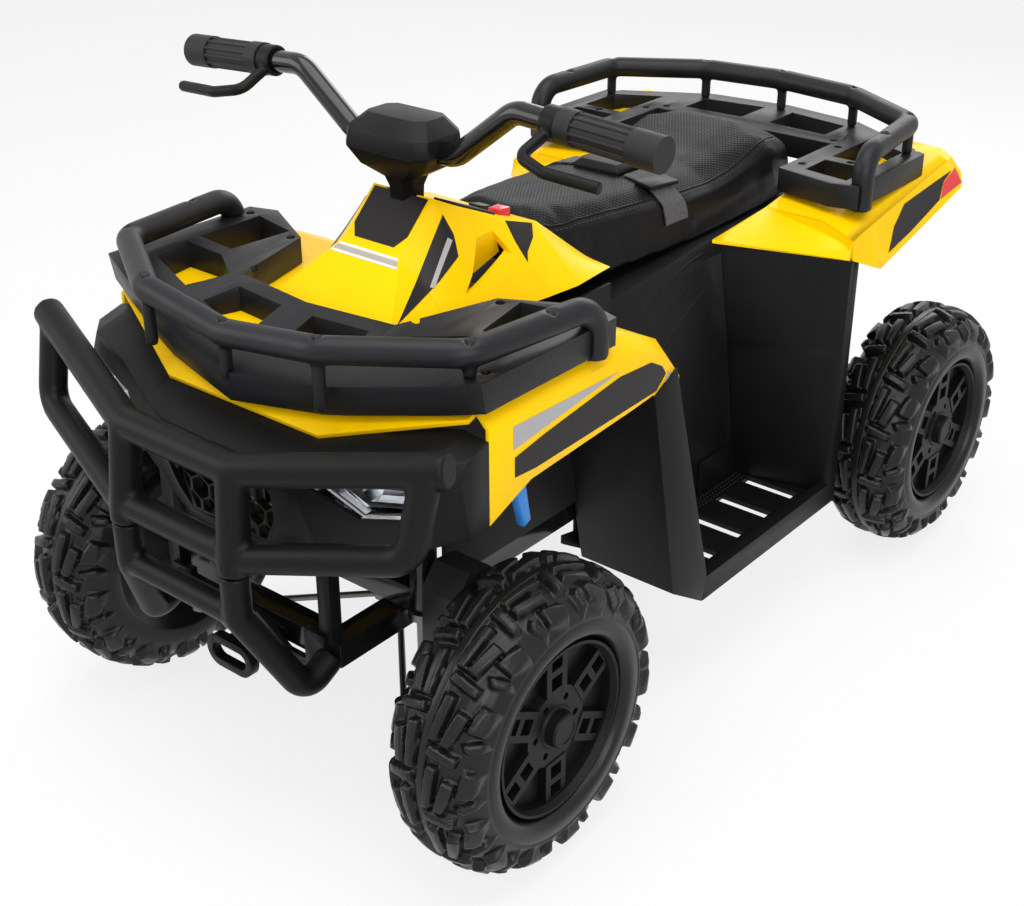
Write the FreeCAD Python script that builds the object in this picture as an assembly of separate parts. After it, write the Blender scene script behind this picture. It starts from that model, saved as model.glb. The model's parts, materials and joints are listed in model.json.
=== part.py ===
import FreeCAD, Part
import math
import os

V = FreeCAD.Vector

# Kids quad bike, battery ride-on. Millimetres, +Z up, front towards -Y, rider's left is +X.
# Everything is laid out from the middle of the wheelbase on the floor; the last section moves
# the whole bike so that the origin lies under the middle of its overall box.

# Wheels and running gear
WHEELBASE = 766.0
TRACK = 508.0
TYRE_D = 300.0
TYRE_W = 99.0
LUG_H = 9.0
LUG_COUNT = 14
SIDE_RING_R = 109.5
WHEEL_FACE_R = 86.0
SPOKE_PAIRS = 6
AXLE_D = 12.0
RUN_FIT = 0.08
KINGPIN_X = 133.0
KINGPIN_D = 16.0
STEER_ARM = (12.0, -45.0)
PIN_D = 8.0

# Steel frame
RAIL = 25.0
RAIL_X = 104.0
RAIL_Z = 200.0
COLUMN_Y = -247.0
COLUMN_D = 16.0

# Body shells
WALL = 4.0
BODY_X = 238.0
HOOD_Z = 457.0
HOOD_FRONT_Y = -411.0
ARCH_Z = 354.0
FLOOR_Z = 110.0
FLOOR_T = 6.0
SILL_H = 20.0
FOOT_FRONT_Y = -58.0
FOOT_REAR_Y = 204.0
TUNNEL_X = RAIL_X + RAIL / 2 + WALL + 1.0
FENDER_X = 250.0
FENDER_END_Y = 452.0
SLOT_COUNT = 4

# Tower and tank
TOWER_TOP_Z = 557.0
TOWER_TOP_Y = -253.0
TANK_REAR_Y = -140.0
TANK_REAR_Z = 512.0

# Racks
RAIL_TUBE_D = 25.0
RACK_TOP_Z = 486.0
FRONT_RAIL_Z = 505.0
REAR_RAIL_Z = 521.0
POST_D = 12.0

# Bull bar
BAR_D = 30.0
BUMPER_REACH = 569.5
BAR_END = (258.0, -483.0, 442.0)
BAR_BEND_X = 70.0
BAR_BEND_Z = 404.0
LOOP_LOW = (235.0, -507.0, 362.0)
BAR_JOINT_Z = 309.0

# Handlebar
BAR_TUBE_D = 21.0
GRIP_D = 32.0
GRIP_END_X = 288.0
GRIP_L = 104.0
GRIP_Z = 650.0
COVER_Z = 592.0

# Seat
SEAT_X = 104.0
SEAT_BASE_Z = 430.0
HUMP_Z = 514.0
SEAT_REAR_Y = 322.0

TYRE_R = TYRE_D / 2
FRONT_Y = -WHEELBASE / 2
REAR_Y = WHEELBASE / 2
WHEEL_X = TRACK / 2
BAR_Y = -(BUMPER_REACH - BAR_D / 2)
ORIGIN_SHIFT = V(0, (BUMPER_REACH - REAR_Y - TYRE_R) / 2, 0)

os.makedirs("parts", exist_ok=True)


# Small modelling helpers
def box(x0, x1, y0, y1, z0, z1):
    return Part.makeBox(x1 - x0, y1 - y0, z1 - z0, V(x0, y0, z0))


def rod(radius, start, end):
    axis = V(*end) - V(*start)
    return Part.makeCylinder(radius, axis.Length, V(*start), axis)


def polygon(points):
    corners = [V(*p) for p in points]
    return Part.makePolygon(corners + [corners[0]])


def prism(points, direction):
    return Part.Face(polygon(points)).extrude(V(*direction))


def plan_prism(points, z0, z1):
    return prism([(x, y, z0) for x, y in points], (0, 0, z1 - z0))


def front_prism(points, y0, y1):
    return prism([(x, y0, z) for x, z in points], (0, y1 - y0, 0))


def side_prism(points, x0, x1):
    return prism([(x0, y, z) for y, z in points], (x1 - x0, 0, 0))


def loft(sections):
    return Part.makeLoft([polygon(s) for s in sections], True, True)


def mirrored(shape):
    return shape.mirror(V(0, 0, 0), V(1, 0, 0))


def fuse_all(shapes):
    return shapes[0].multiFuse(shapes[1:]).removeSplitter()


def largest(shape):
    return max(shape.Solids, key=lambda s: s.Volume)


def clear_of(shape, *others):
    for other in others:
        shape = shape.cut(other)
    return largest(shape)


def bent_path(points, bend):
    corners = [V(*p) for p in points]
    edges = []
    start = corners[0]
    for before, here, after in zip(corners, corners[1:], corners[2:]):
        into = (here - before).normalize()
        out = (after - here).normalize()
        half = into.getAngle(out) / 2
        set_back = bend * math.tan(half)
        first = here - into * set_back
        last = here + out * set_back
        inward = (out - into).normalize()
        middle = here + inward * (bend / math.cos(half) - bend)
        edges.append(Part.LineSegment(start, first).toShape())
        edges.append(Part.Arc(first, middle, last).toShape())
        start = last
    edges.append(Part.LineSegment(start, corners[-1]).toShape())
    return Part.Wire(edges)


def tube(points, radius, bend):
    path = bent_path(points, bend)
    heading = V(*points[1]) - V(*points[0])
    ring = Part.Wire(Part.makeCircle(radius, V(*points[0]), heading))
    return path.makePipeShell([ring], True, False)


def mirror_points(points):
    return [(-x, y, z) for x, y, z in reversed(points)]


# Tyres: blow-moulded, with a centre seam band, V lugs and shoulder lugs
CROWN_DROP = 12.0
SHOULDER_X = TYRE_W / 2 - 4.0
SEAM_W = 8.0
FACE_DEPTH = 34.0
INNER_DISH = 22.0


def crown(x, height):
    return TYRE_R - LUG_H + height - CROWN_DROP * (abs(x) / SHOULDER_X) ** 2


def lug_bar(x0, turn0, x1, turn1, width, height):
    sections = []
    for x, turn in ((x0, turn0), (x1, turn1)):
        foot = crown(x, -6.0)
        top = crown(x, height)
        section = []
        for side, r, spread in ((-1, foot, 1.25), (1, foot, 1.25), (1, top, 0.8), (-1, top, 0.8)):
            offset = side * width * spread / 2
            angle = math.radians(turn)
            y = offset * math.cos(angle) + r * math.sin(angle)
            z = r * math.cos(angle) - offset * math.sin(angle)
            section.append((x, y, z))
        sections.append(section)
    return loft(sections)


def make_tyre():
    half = TYRE_W / 2
    bore = AXLE_D / 2 + RUN_FIT
    profile = [
        (half - FACE_DEPTH, bore),
        (half - FACE_DEPTH, WHEEL_FACE_R),
        (half - 4, WHEEL_FACE_R + 4),
        (half, WHEEL_FACE_R + 10),
        (half, SIDE_RING_R),
        (SHOULDER_X, crown(SHOULDER_X, 0)),
        (SHOULDER_X * 0.6, crown(SHOULDER_X * 0.6, 0)),
        (SEAM_W / 2, crown(0, 0)),
        (SEAM_W / 2, crown(0, 3)),
        (-SEAM_W / 2, crown(0, 3)),
        (-SEAM_W / 2, crown(0, 0)),
        (-SHOULDER_X * 0.6, crown(SHOULDER_X * 0.6, 0)),
        (-SHOULDER_X, crown(SHOULDER_X, 0)),
        (-half, SIDE_RING_R),
        (-half, WHEEL_FACE_R + 10),
        (-half + INNER_DISH, WHEEL_FACE_R - 20),
        (-half + INNER_DISH, bore),
    ]
    face = Part.Face(polygon([(x, 0, r) for x, r in profile]))
    tyre = face.revolve(V(0, 0, 0), V(1, 0, 0), 360)
    lugs = []
    pitch = 360.0 / LUG_COUNT
    for side in (1, -1):
        for i in range(LUG_COUNT):
            turn = (i + (0.25 if side > 0 else 0.75)) * pitch
            lean = pitch * 0.36
            elbow = side * SHOULDER_X * 0.52
            lugs.append(lug_bar(side * 7, turn - lean, elbow, turn, 11, LUG_H))
            lugs.append(lug_bar(elbow, turn, side * SHOULDER_X * 0.98, turn - lean * 0.9, 11, LUG_H))
            outer = side * SHOULDER_X
            lugs.append(lug_bar(outer * 0.6, turn + lean * 0.75, outer, turn + lean * 0.55, 12, LUG_H * 0.8))
    return fuse_all([tyre] + lugs)


# Wheel covers: a rim, a disc, six double spokes with two windows each, a hub plate with bolt recesses
COVER_X = TYRE_W / 2 - FACE_DEPTH
COVER_FIT = 0.3
COVER_FACE = COVER_X + FACE_DEPTH - 12.0
COVER_DISC = COVER_X + 12.0
HUB_PLATE_R = 40.0
SPOKE_IN = 7.5
SPOKE_OUT = 14.5
WINDOW_RADII = ((42.0, 56.0), (63.0, 77.0))
BOLT_R = 3.6
BOLT_CIRCLE_R = 29.0


def turned_about_axle(shape, angle):
    turned = shape.copy()
    turned.rotate(V(0, 0, 0), V(1, 0, 0), angle)
    return turned


def make_wheel_cover():
    rim_r = WHEEL_FACE_R - COVER_FIT
    bore = AXLE_D / 2 + RUN_FIT
    profile = [
        (COVER_X, bore),
        (COVER_X, rim_r),
        (COVER_FACE + 6, rim_r),
        (COVER_FACE + 6, rim_r - 3),
        (COVER_FACE, rim_r - 6),
        (COVER_DISC, rim_r - 7),
        (COVER_DISC, HUB_PLATE_R + 2),
        (COVER_FACE - 2, HUB_PLATE_R),
        (COVER_FACE - 2, 22),
        (COVER_FACE, 20),
        (COVER_FACE, bore),
    ]
    face = Part.Face(polygon([(x, 0, r) for x, r in profile]))
    cover = face.revolve(V(0, 0, 0), V(1, 0, 0), 360)
    bars = []
    holes = []
    step = 360.0 / SPOKE_PAIRS
    for i in range(SPOKE_PAIRS):
        spoke = box(COVER_DISC - 1, COVER_FACE - 1, -SPOKE_OUT, SPOKE_OUT, HUB_PLATE_R - 3, rim_r - 5)
        bars.append(turned_about_axle(spoke, step * i))
        for r0, r1 in WINDOW_RADII:
            window = box(COVER_X + 3, COVER_FACE + 1, -SPOKE_IN, SPOKE_IN, r0, r1)
            holes.append(turned_about_axle(window, step * i))
        bolt = rod(BOLT_R, (COVER_FACE - 8, 0, BOLT_CIRCLE_R), (COVER_FACE + 1, 0, BOLT_CIRCLE_R))
        holes.append(turned_about_axle(bolt, step * (i + 0.5)))
    return largest(fuse_all([cover] + bars).cut(Part.makeCompound(holes)))


def make_hub_cap(face_x):
    nut_room = AXLE_D / 2 + 5
    profile = [
        (face_x, nut_room),
        (face_x, 18),
        (face_x + 8, 17),
        (face_x + 10, 15.5),
        (face_x + 10, 13.5),
        (face_x + 9, 12.5),
        (face_x + 9, 0),
        (face_x + 7, 0),
        (face_x + 7, nut_room),
    ]
    face = Part.Face(polygon([(x, 0, r) for x, r in profile]))
    return face.revolve(V(0, 0, 0), V(1, 0, 0), 360)


TYRE = make_tyre()
COVER = make_wheel_cover()
HUB_CAP = make_hub_cap(COVER_FACE)


def place_wheel(shape, side, y):
    placed = shape.copy()
    placed.translate(V(WHEEL_X, y, TYRE_R))
    return placed if side > 0 else mirrored(placed)


# Steel frame: two long rails, cross tubes, the front axle beam with its kingpin sleeves,
# the steering bridge and the carriers of the rear axle
FRAME_FRONT_Y = -478.0
FRAME_REAR_Y = REAR_Y + 25.0
SLEEVE_LOW = RAIL_Z + RAIL / 2
SLEEVE_TOP = SLEEVE_LOW + 76.0
SLEEVE_R = KINGPIN_D / 2 + 5.0
BRIDGE_Z = 425.0
BRIDGE_X = 44.0


def make_frame():
    half = RAIL / 2
    low = RAIL_Z - half
    top = RAIL_Z + half
    rail = box(RAIL_X - half, RAIL_X + half, FRAME_FRONT_Y, FRAME_REAR_Y, low, top)
    pieces = [rail, mirrored(rail)]
    for y in (FRAME_FRONT_Y + half, COLUMN_Y, -15.0, 105.0, 215.0, FRAME_REAR_Y - half):
        pieces.append(box(-RAIL_X, RAIL_X, y - half, y + half, low, top))
    pieces.append(box(-KINGPIN_X, KINGPIN_X, FRONT_Y - half, FRONT_Y + half, top, top + RAIL))
    for side in (1, -1):
        x = side * KINGPIN_X
        pieces.append(rod(SLEEVE_R, (x, FRONT_Y, SLEEVE_LOW), (x, FRONT_Y, SLEEVE_TOP)))
        foot = side * BRIDGE_X
        pieces.append(box(foot - 5, foot + 5, COLUMN_Y - half, COLUMN_Y + half, top, BRIDGE_Z))
        carrier = side * RAIL_X
        pieces.append(box(carrier - 5, carrier + 5, REAR_Y - 20, REAR_Y + 20, TYRE_R - 18, low))
    pieces.append(box(-BRIDGE_X - 5, BRIDGE_X + 5, COLUMN_Y - half, COLUMN_Y + half, BRIDGE_Z, BRIDGE_Z + 6))
    frame = fuse_all(pieces)
    holes = [
        rod(COLUMN_D / 2 + RUN_FIT, (0, COLUMN_Y, low - 1), (0, COLUMN_Y, BRIDGE_Z + 10)),
        rod(AXLE_D / 2, (-RAIL_X - 10, REAR_Y, TYRE_R), (RAIL_X + 10, REAR_Y, TYRE_R)),
    ]
    for side in (1, -1):
        x = side * KINGPIN_X
        holes.append(rod(KINGPIN_D / 2 + RUN_FIT, (x, FRONT_Y, SLEEVE_LOW - 1), (x, FRONT_Y, SLEEVE_TOP + 1)))
    for hole in holes:
        frame = frame.cut(hole)
    return largest(frame)


FRAME = make_frame()
NUT_R = AXLE_D / 2 + 4.0
NUT_T = 6.0
AXLE_END_X = WHEEL_X + COVER_FACE + NUT_T + 0.3


def axle_end(side, y):
    inner = WHEEL_X + COVER_FACE + 0.3
    return rod(NUT_R, (side * inner, y, TYRE_R), (side * AXLE_END_X, y, TYRE_R))


REAR_AXLE = fuse_all(
    [rod(AXLE_D / 2, (-AXLE_END_X, REAR_Y, TYRE_R), (AXLE_END_X, REAR_Y, TYRE_R))]
    + [axle_end(side, REAR_Y) for side in (1, -1)]
)


# Gearbox with its motor, carried by the rear axle inside each rear wheel
GEARBOX_X0 = RAIL_X + 6.0
GEARBOX_X1 = WHEEL_X - TYRE_W / 2 - 1.0


def make_gearbox():
    big_r = 46.0
    small_r = 30.0
    motor_y = REAR_Y - 62.0
    motor_z = TYRE_R + 34.0
    width = GEARBOX_X1 - GEARBOX_X0
    first = GEARBOX_X0 + width * 0.45
    case = fuse_all([
        rod(big_r, (first, REAR_Y, TYRE_R), (GEARBOX_X1, REAR_Y, TYRE_R)),
        rod(small_r, (first, motor_y, motor_z), (GEARBOX_X1, motor_y, motor_z)),
        side_prism([
            (REAR_Y - 22, TYRE_R + 40), (motor_y - 14, motor_z + 26),
            (motor_y + 14, motor_z - 26), (REAR_Y + 22, TYRE_R - 40),
        ], first, GEARBOX_X1),
        rod(18.0, (RAIL_X + 14, motor_y, motor_z), (first + 1, motor_y, motor_z)),
        rod(14.0, (GEARBOX_X0, REAR_Y, TYRE_R), (first + 1, REAR_Y, TYRE_R)),
    ])
    return largest(case.cut(rod(AXLE_D / 2, (0, REAR_Y, TYRE_R), (WHEEL_X, REAR_Y, TYRE_R))))


GEARBOX = clear_of(make_gearbox(), FRAME)


# Steering: column with its drop arm, kingpins with stub axles, knuckle covers, tie rods
ARM_Z = TYRE_R - 20.0
ARM_T = 6.0
EYE_R = PIN_D / 2 + 5.0
ROD_T = 8.0
ROD_Z = ARM_Z - ROD_T - 2.0
COLLAR_R = SLEEVE_R + 3.0


def arm_plate(x, y, side):
    dx = side * STEER_ARM[0]
    dy = STEER_ARM[1]
    hub = rod(13.0, (x, y, ARM_Z), (x, y, ARM_Z + ARM_T))
    eye = rod(EYE_R, (x + dx, y + dy, ARM_Z), (x + dx, y + dy, ARM_Z + ARM_T))
    outline = [(x - 8, y), (x + dx - 7, y + dy), (x + dx + 7, y + dy), (x + 8, y)]
    bar = plan_prism(outline, ARM_Z, ARM_Z + ARM_T)
    pin = rod(PIN_D / 2, (x + dx, y + dy, ROD_Z - 4), (x + dx, y + dy, ARM_Z + ARM_T))
    return hub.fuse(eye).fuse(bar).fuse(pin)


COLUMN_TOP_Z = COVER_Z - 4.0
COLUMN = fuse_all([
    rod(COLUMN_D / 2, (0, COLUMN_Y, ARM_Z), (0, COLUMN_Y, COLUMN_TOP_Z)),
    arm_plate(0, COLUMN_Y, 1),
    arm_plate(0, COLUMN_Y, -1),
    rod(COLUMN_D / 2 + 5, (0, COLUMN_Y, BRIDGE_Z + 6.3), (0, COLUMN_Y, BRIDGE_Z + 14)),
])


def make_kingpin():
    x = KINGPIN_X
    return fuse_all([
        rod(KINGPIN_D / 2, (x, FRONT_Y, ARM_Z), (x, FRONT_Y, SLEEVE_TOP + 5)),
        rod(COLLAR_R, (x, FRONT_Y, SLEEVE_LOW - 8.3), (x, FRONT_Y, SLEEVE_LOW - 0.3)),
        arm_plate(x, FRONT_Y, 1),
        rod(AXLE_D / 2, (x, FRONT_Y, TYRE_R), (AXLE_END_X, FRONT_Y, TYRE_R)),
        axle_end(1, FRONT_Y),
    ])


KINGPIN = make_kingpin()
COVER_IN_X = KINGPIN_X + 22.0
COVER_OUT_X = WHEEL_X - TYRE_W / 2 - 8.0


def make_knuckle_cover():
    base = TYRE_R - 34
    crest = TYRE_R + 128
    outline = [
        (FRONT_Y - 30, base), (FRONT_Y + 30, base), (FRONT_Y + 44, TYRE_R + 40),
        (FRONT_Y + 40, crest - 26), (FRONT_Y + 20, crest - 4),
        (FRONT_Y - 8, crest), (FRONT_Y - 26, crest - 22),
    ]
    inner = [
        (FRONT_Y - 20, base + 92), (FRONT_Y + 30, base + 92), (FRONT_Y + 30, crest - 32),
        (FRONT_Y + 14, crest - 14), (FRONT_Y - 6, crest - 10), (FRONT_Y - 18, crest - 28),
    ]
    cover = side_prism(outline, COVER_IN_X, COVER_OUT_X)
    cover = cover.cut(side_prism(inner, COVER_IN_X - 1, COVER_OUT_X - 6))
    hub = rod(18.0, (KINGPIN_X + 9, FRONT_Y, TYRE_R), (GEARBOX_X1, FRONT_Y, TYRE_R))
    cover = cover.fuse(hub)
    return largest(cover.cut(KINGPIN))


KNUCKLE_COVER = make_knuckle_cover()


def make_tie_rod():
    start = (STEER_ARM[0], COLUMN_Y + STEER_ARM[1])
    end = (KINGPIN_X + STEER_ARM[0], FRONT_Y + STEER_ARM[1])
    mid_z = ROD_Z + ROD_T / 2
    pieces = [rod(3.5, (*start, mid_z), (*end, mid_z))]
    for x, y in (start, end):
        pieces.append(rod(EYE_R, (x, y, ROD_Z), (x, y, ROD_Z + ROD_T)))
    bar = fuse_all(pieces)
    near = rod(PIN_D / 2 + RUN_FIT, (*start, ROD_Z - 1), (*start, ROD_Z + ROD_T + 1))
    far = rod(PIN_D / 2 + 0.5, (*end, ROD_Z - 1), (*end, ROD_Z + ROD_T + 1))
    return largest(bar.cut(near).cut(far))


TIE_ROD = make_tie_rod()


# Handlebar group: tube, cover halves, grips, moulded lever guards
COVER_HALF_X = 52.0
COVER_SPLIT = COVER_Z + 8.0
BAR_LOW_Z = COVER_Z + 8.0


def make_bar_tube():
    half = [
        (GRIP_END_X - 6, COLUMN_Y, GRIP_Z - 5),
        (132, COLUMN_Y, GRIP_Z + 4),
        (62, COLUMN_Y, BAR_LOW_Z),
    ]
    return tube(half + mirror_points(half), BAR_TUBE_D / 2, 28)


BAR_TUBE = make_bar_tube()


def faceted_block(rings):
    return loft([[(sx * hx, COLUMN_Y + y, z) for sx, hx, y in ring] for z, ring in rings])


def cover_ring(half_x, front, rear, corner):
    return [
        (1, half_x - corner, front), (1, half_x, front + corner), (1, half_x, rear - corner),
        (1, half_x - corner, rear), (-1, half_x - corner, rear), (-1, half_x, rear - corner),
        (-1, half_x, front + corner), (-1, half_x - corner, front),
    ]


def make_bar_covers():
    upper = faceted_block([
        (COVER_SPLIT, cover_ring(COVER_HALF_X, -36, 30, 10)),
        (COVER_SPLIT + 16, cover_ring(COVER_HALF_X - 2, -34, 30, 10)),
        (COVER_SPLIT + 30, cover_ring(COVER_HALF_X - 16, -18, 22, 8)),
    ])
    lower = faceted_block([
        (TOWER_TOP_Z - 22, cover_ring(13, -13, 13, 5)),
        (TOWER_TOP_Z + 5, cover_ring(14.5, -14.5, 14.5, 6)),
        (COVER_Z - 20, cover_ring(18, -18, 18, 7)),
        (COVER_Z - 8, cover_ring(40, -30, 28, 10)),
        (COVER_SPLIT, cover_ring(COVER_HALF_X, -36, 30, 10)),
    ])
    return clear_of(upper, BAR_TUBE, COLUMN), clear_of(lower, BAR_TUBE, COLUMN)


BAR_COVER_UPPER, BAR_COVER_LOWER = make_bar_covers()


def bar_point(x):
    reach = GRIP_END_X - 6 - 132
    return (x, COLUMN_Y, GRIP_Z + 4 - 9 * (x - 132) / reach)


GRIP_IN_X = GRIP_END_X - GRIP_L


def make_grip():
    r = GRIP_D / 2
    pieces = [
        rod(r, bar_point(GRIP_IN_X), bar_point(GRIP_IN_X + 16)),
        rod(r - 2, bar_point(GRIP_IN_X + 16), bar_point(GRIP_END_X - 30)),
        rod(r, bar_point(GRIP_END_X - 30), bar_point(GRIP_END_X)),
    ]
    for i in range(12):
        angle = math.radians(30 * i)
        flute = rod(1.8, bar_point(GRIP_IN_X + 15), bar_point(GRIP_END_X - 29))
        flute.translate(V(0, (r - 2.2) * math.cos(angle), (r - 2.2) * math.sin(angle)))
        pieces.append(flute)
    return largest(fuse_all(pieces).cut(BAR_TUBE))


GRIP = make_grip()
LEVER_GAP = 0.3


def make_lever():
    near = GRIP_IN_X - LEVER_GAP
    collar = rod(GRIP_D / 2 - 1, bar_point(near - 17), bar_point(near))
    y0 = COLUMN_Y
    z0 = GRIP_Z - 12
    guard = tube([
        (near - 9, y0 - 8, z0 + 8), (near - 12, y0 - 44, z0 - 6), (near + 20, y0 - 52, z0 - 12),
        (near + 74, y0 - 46, z0 - 16),
    ], 5.5, 12)
    return largest(collar.fuse(guard).cut(BAR_TUBE))


LEVER = make_lever()


# Yellow hood with both front fenders: one U-shaped shell along the bike, an apron over the nose
def u_section(y, top, edge, low, bevel=14.0):
    t = WALL
    outer = [(edge, low), (edge, top - bevel), (edge - bevel, top)]
    inner = [(edge - bevel - t * 0.4, top - t), (edge - t, top - bevel - t * 0.4), (edge - t, low)]
    right = [(-x, z) for x, z in reversed(outer)]
    right_inner = [(-x, z) for x, z in reversed(inner)]
    ring = outer + right + right_inner + inner
    return [(x, y, z) for x, z in ring]


HOOD_STATIONS = [
    (HOOD_FRONT_Y, HOOD_Z, BODY_X, ARCH_Z - 2),
    (HOOD_FRONT_Y + 56, HOOD_Z + 1, BODY_X, ARCH_Z + 20),
    (-207.0, HOOD_Z + 1, BODY_X, ARCH_Z + 29),
    (-172.0, HOOD_Z - 14, BODY_X, ARCH_Z + 32),
    (-152.0, HOOD_Z - 24, BODY_X, ARCH_Z + 12),
    (-129.0, HOOD_Z - 52, BODY_X, ARCH_Z + 34),
]
APRON_TIP = (97.0, -471.0, 417.0)


def make_hood():
    shell = loft([u_section(*station) for station in HOOD_STATIONS])
    rear = HOOD_FRONT_Y + 10
    slope = HOOD_Z - 1
    tip_x, tip_y, tip_z = APRON_TIP
    sections = []
    for x, y, z in ((-BODY_X + 16, HOOD_FRONT_Y - 8, slope - 6), (-tip_x, tip_y, tip_z),
                    (tip_x, tip_y, tip_z), (BODY_X - 16, HOOD_FRONT_Y - 8, slope - 6)):
        sections.append([(x, rear, slope), (x, y, z), (x, y + 1, z - WALL), (x, rear, slope - WALL)])
    return fuse_all([shell, loft(sections)])


# Tower and tank cover: a hollow pyramid with the plate facing forward and the dash behind it
TOWER_STATIONS = [
    (-358.0, 78.0, 80.0, HOOD_Z + 8),
    (-296.0, 36.0, 100.0, 516.0),
    (TOWER_TOP_Y, 37.0, 110.0, TOWER_TOP_Z),
    (-226.0, 44.0, 114.0, TOWER_TOP_Z - 13),
    (-181.0, 60.0, 120.0, TOWER_TOP_Z - 32),
    (TANK_REAR_Y, 70.0, 124.0, TANK_REAR_Z),
]


def tower_section(y, top_x, base_x, top, base, inset):
    tx = top_x - inset
    bx = base_x - inset
    z = top - inset
    return [(bx, y, base), (tx, y, z), (-tx, y, z), (-bx, y, base)]


def tower_solid(inset, floor):
    sections = []
    for y, top_x, base_x, top in TOWER_STATIONS:
        sections.append(tower_section(y, top_x, base_x, max(top, floor + inset + 3), floor, inset))
    tail = TANK_REAR_Y + 60
    sections.append([(118 - inset, tail, floor), (88 - inset, tail, floor + 4 - inset * 0.1),
                     (inset - 88, tail, floor + 4 - inset * 0.1), (inset - 118, tail, floor)])
    return loft(sections)


TOWER_FLOOR = HOOD_Z + 1.0


def make_tank_cover(hood):
    outer = tower_solid(0, TOWER_FLOOR)
    inner = tower_solid(WALL, TOWER_FLOOR - 6)
    shell = outer.cut(inner)
    scoop = loft([
        [(66, -262, 478), (66, -206, 536), (66, -196, 500)],
        [(130, -280, 478), (130, -200, 552), (130, -186, 490)],
    ])
    for side in (scoop, mirrored(scoop)):
        shell = shell.cut(side)
    floor_plate = loft([
        [(62, -262, 474), (62, -206, 540), (62, -192, 496)],
        [(66, -264, 474), (66, -206, 542), (66, -191, 494)],
    ]).common(outer)
    shell = shell.fuse(floor_plate).fuse(mirrored(floor_plate))
    shell = shell.cut(rod(20, (0, COLUMN_Y, 400), (0, COLUMN_Y, 620)))
    return clear_of(shell, hood)


# Black front fascia: nose, cheeks round the headlights, corner panels
def fascia_section(x, points):
    t = WALL + 1
    outer = [(x, y, z) for y, z in points]
    (ay, az), (by, bz), (cy, cz), (dy, dz) = points
    inner = [(x, dy + t, dz), (x, cy + t, cz - t * 0.4), (x, by + t * 1.4, bz - t), (x, ay, az - t)]
    return outer + inner


FASCIA_PROFILES = [
    (0.0, [(-462, 415), (-512, 398), (-516, 382), (-492, 288)]),
    (62.0, [(-462, 415), (-510, 398), (-514, 382), (-490, 290)]),
    (98.0, [(-458, 417), (-500, 404), (-506, 386), (-484, 306)]),
    (150.0, [(-436, 430), (-480, 418), (-490, 394), (-472, 328)]),
    (214.0, [(-416, 438), (-462, 424), (-470, 402), (-456, 342)]),
    (BODY_X, [(HOOD_FRONT_Y - 0.5, 432), (-440, 424), (-446, 404), (-436, ARCH_Z - 4)]),
]
HEADLIGHT_OUTLINE = [(112, 382), (132, 398), (219, 406), (214, 374), (192, 366), (151, 358)]
GRILLE_OUTLINE = [(-74, 380), (74, 380), (66, 330), (52, 302), (-52, 302), (-66, 330)]


def make_fascia(hood):
    right = [fascia_section(-x, p) for x, p in reversed(FASCIA_PROFILES[1:])]
    left = [fascia_section(x, p) for x, p in FASCIA_PROFILES]
    fascia = loft(right + left)
    corner = side_prism([
        (HOOD_FRONT_Y - 0.5, 430), (-438, 422), (-444, 404),
        (-434, ARCH_Z - 2), (HOOD_FRONT_Y - 0.5, ARCH_Z - 2),
    ], BODY_X - WALL, BODY_X)
    bracket = box(RAIL_X - 8, RAIL_X + 8, FRAME_FRONT_Y - 5, FRAME_FRONT_Y + 8, RAIL_Z + RAIL / 2, 320)
    fascia = fuse_all([fascia, corner, mirrored(corner), bracket, mirrored(bracket)])
    lamp = front_prism(HEADLIGHT_OUTLINE, -560, -425)
    fascia = fascia.cut(lamp).cut(mirrored(lamp))
    fascia = fascia.cut(front_prism(GRILLE_OUTLINE, -560, -440))
    return clear_of(fascia, hood, FRAME)


# Headlights: a clear lens in the opening, a stepped silver bowl behind it
LENS_FIT = 0.4


def shrunk(points, fit):
    cx = sum(p[0] for p in points) / len(points)
    cz = sum(p[1] for p in points) / len(points)
    reach = max(math.hypot(x - cx, z - cz) for x, z in points)
    scale = 1 - fit / reach * 2.2
    return [(cx + (x - cx) * scale, cz + (z - cz) * scale) for x, z in points]


def lamp_depth(x, back):
    return -492 + 0.30 * (x - 112) + back


def make_lens():
    outline = shrunk(HEADLIGHT_OUTLINE, LENS_FIT)
    near = [(x, lamp_depth(x, 2), z) for x, z in outline]
    far = [(x, lamp_depth(x, 6), z) for x, z in outline]
    return loft([near, far])


def make_reflector():
    outline = shrunk(HEADLIGHT_OUTLINE, LENS_FIT)
    inner = shrunk(HEADLIGHT_OUTLINE, 4)
    bed = shrunk(HEADLIGHT_OUTLINE, 9)
    bowl = loft([
        [(x, lamp_depth(x, 6), z) for x, z in outline],
        [(x, lamp_depth(x, 30), z) for x, z in inner],
    ])
    hollow = loft([
        [(x, lamp_depth(x, 5), z) for x, z in inner],
        [(x, lamp_depth(x, 26), z) for x, z in bed],
    ])
    bars = fuse_all([
        prism([(128, lamp_depth(128, 12), 384), (150, lamp_depth(150, 12), 366),
               (156, lamp_depth(156, 12), 370), (136, lamp_depth(136, 12), 388)], (0, 18, 0)),
        prism([(150, lamp_depth(150, 12), 366), (206, lamp_depth(206, 12), 374),
               (206, lamp_depth(206, 12), 379), (150, lamp_depth(150, 12), 371)], (0, 18, 0)),
        prism([(150, lamp_depth(150, 12), 384), (210, lamp_depth(210, 12), 391),
               (210, lamp_depth(210, 12), 396), (150, lamp_depth(150, 12), 389)], (0, 18, 0)),
    ])
    return largest(bowl.cut(hollow).fuse(bars.common(bowl)))


# Grille: a frame with a hexagon mesh
HEX_ACROSS = 24.0
HEX_WEB = 4.0


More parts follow.
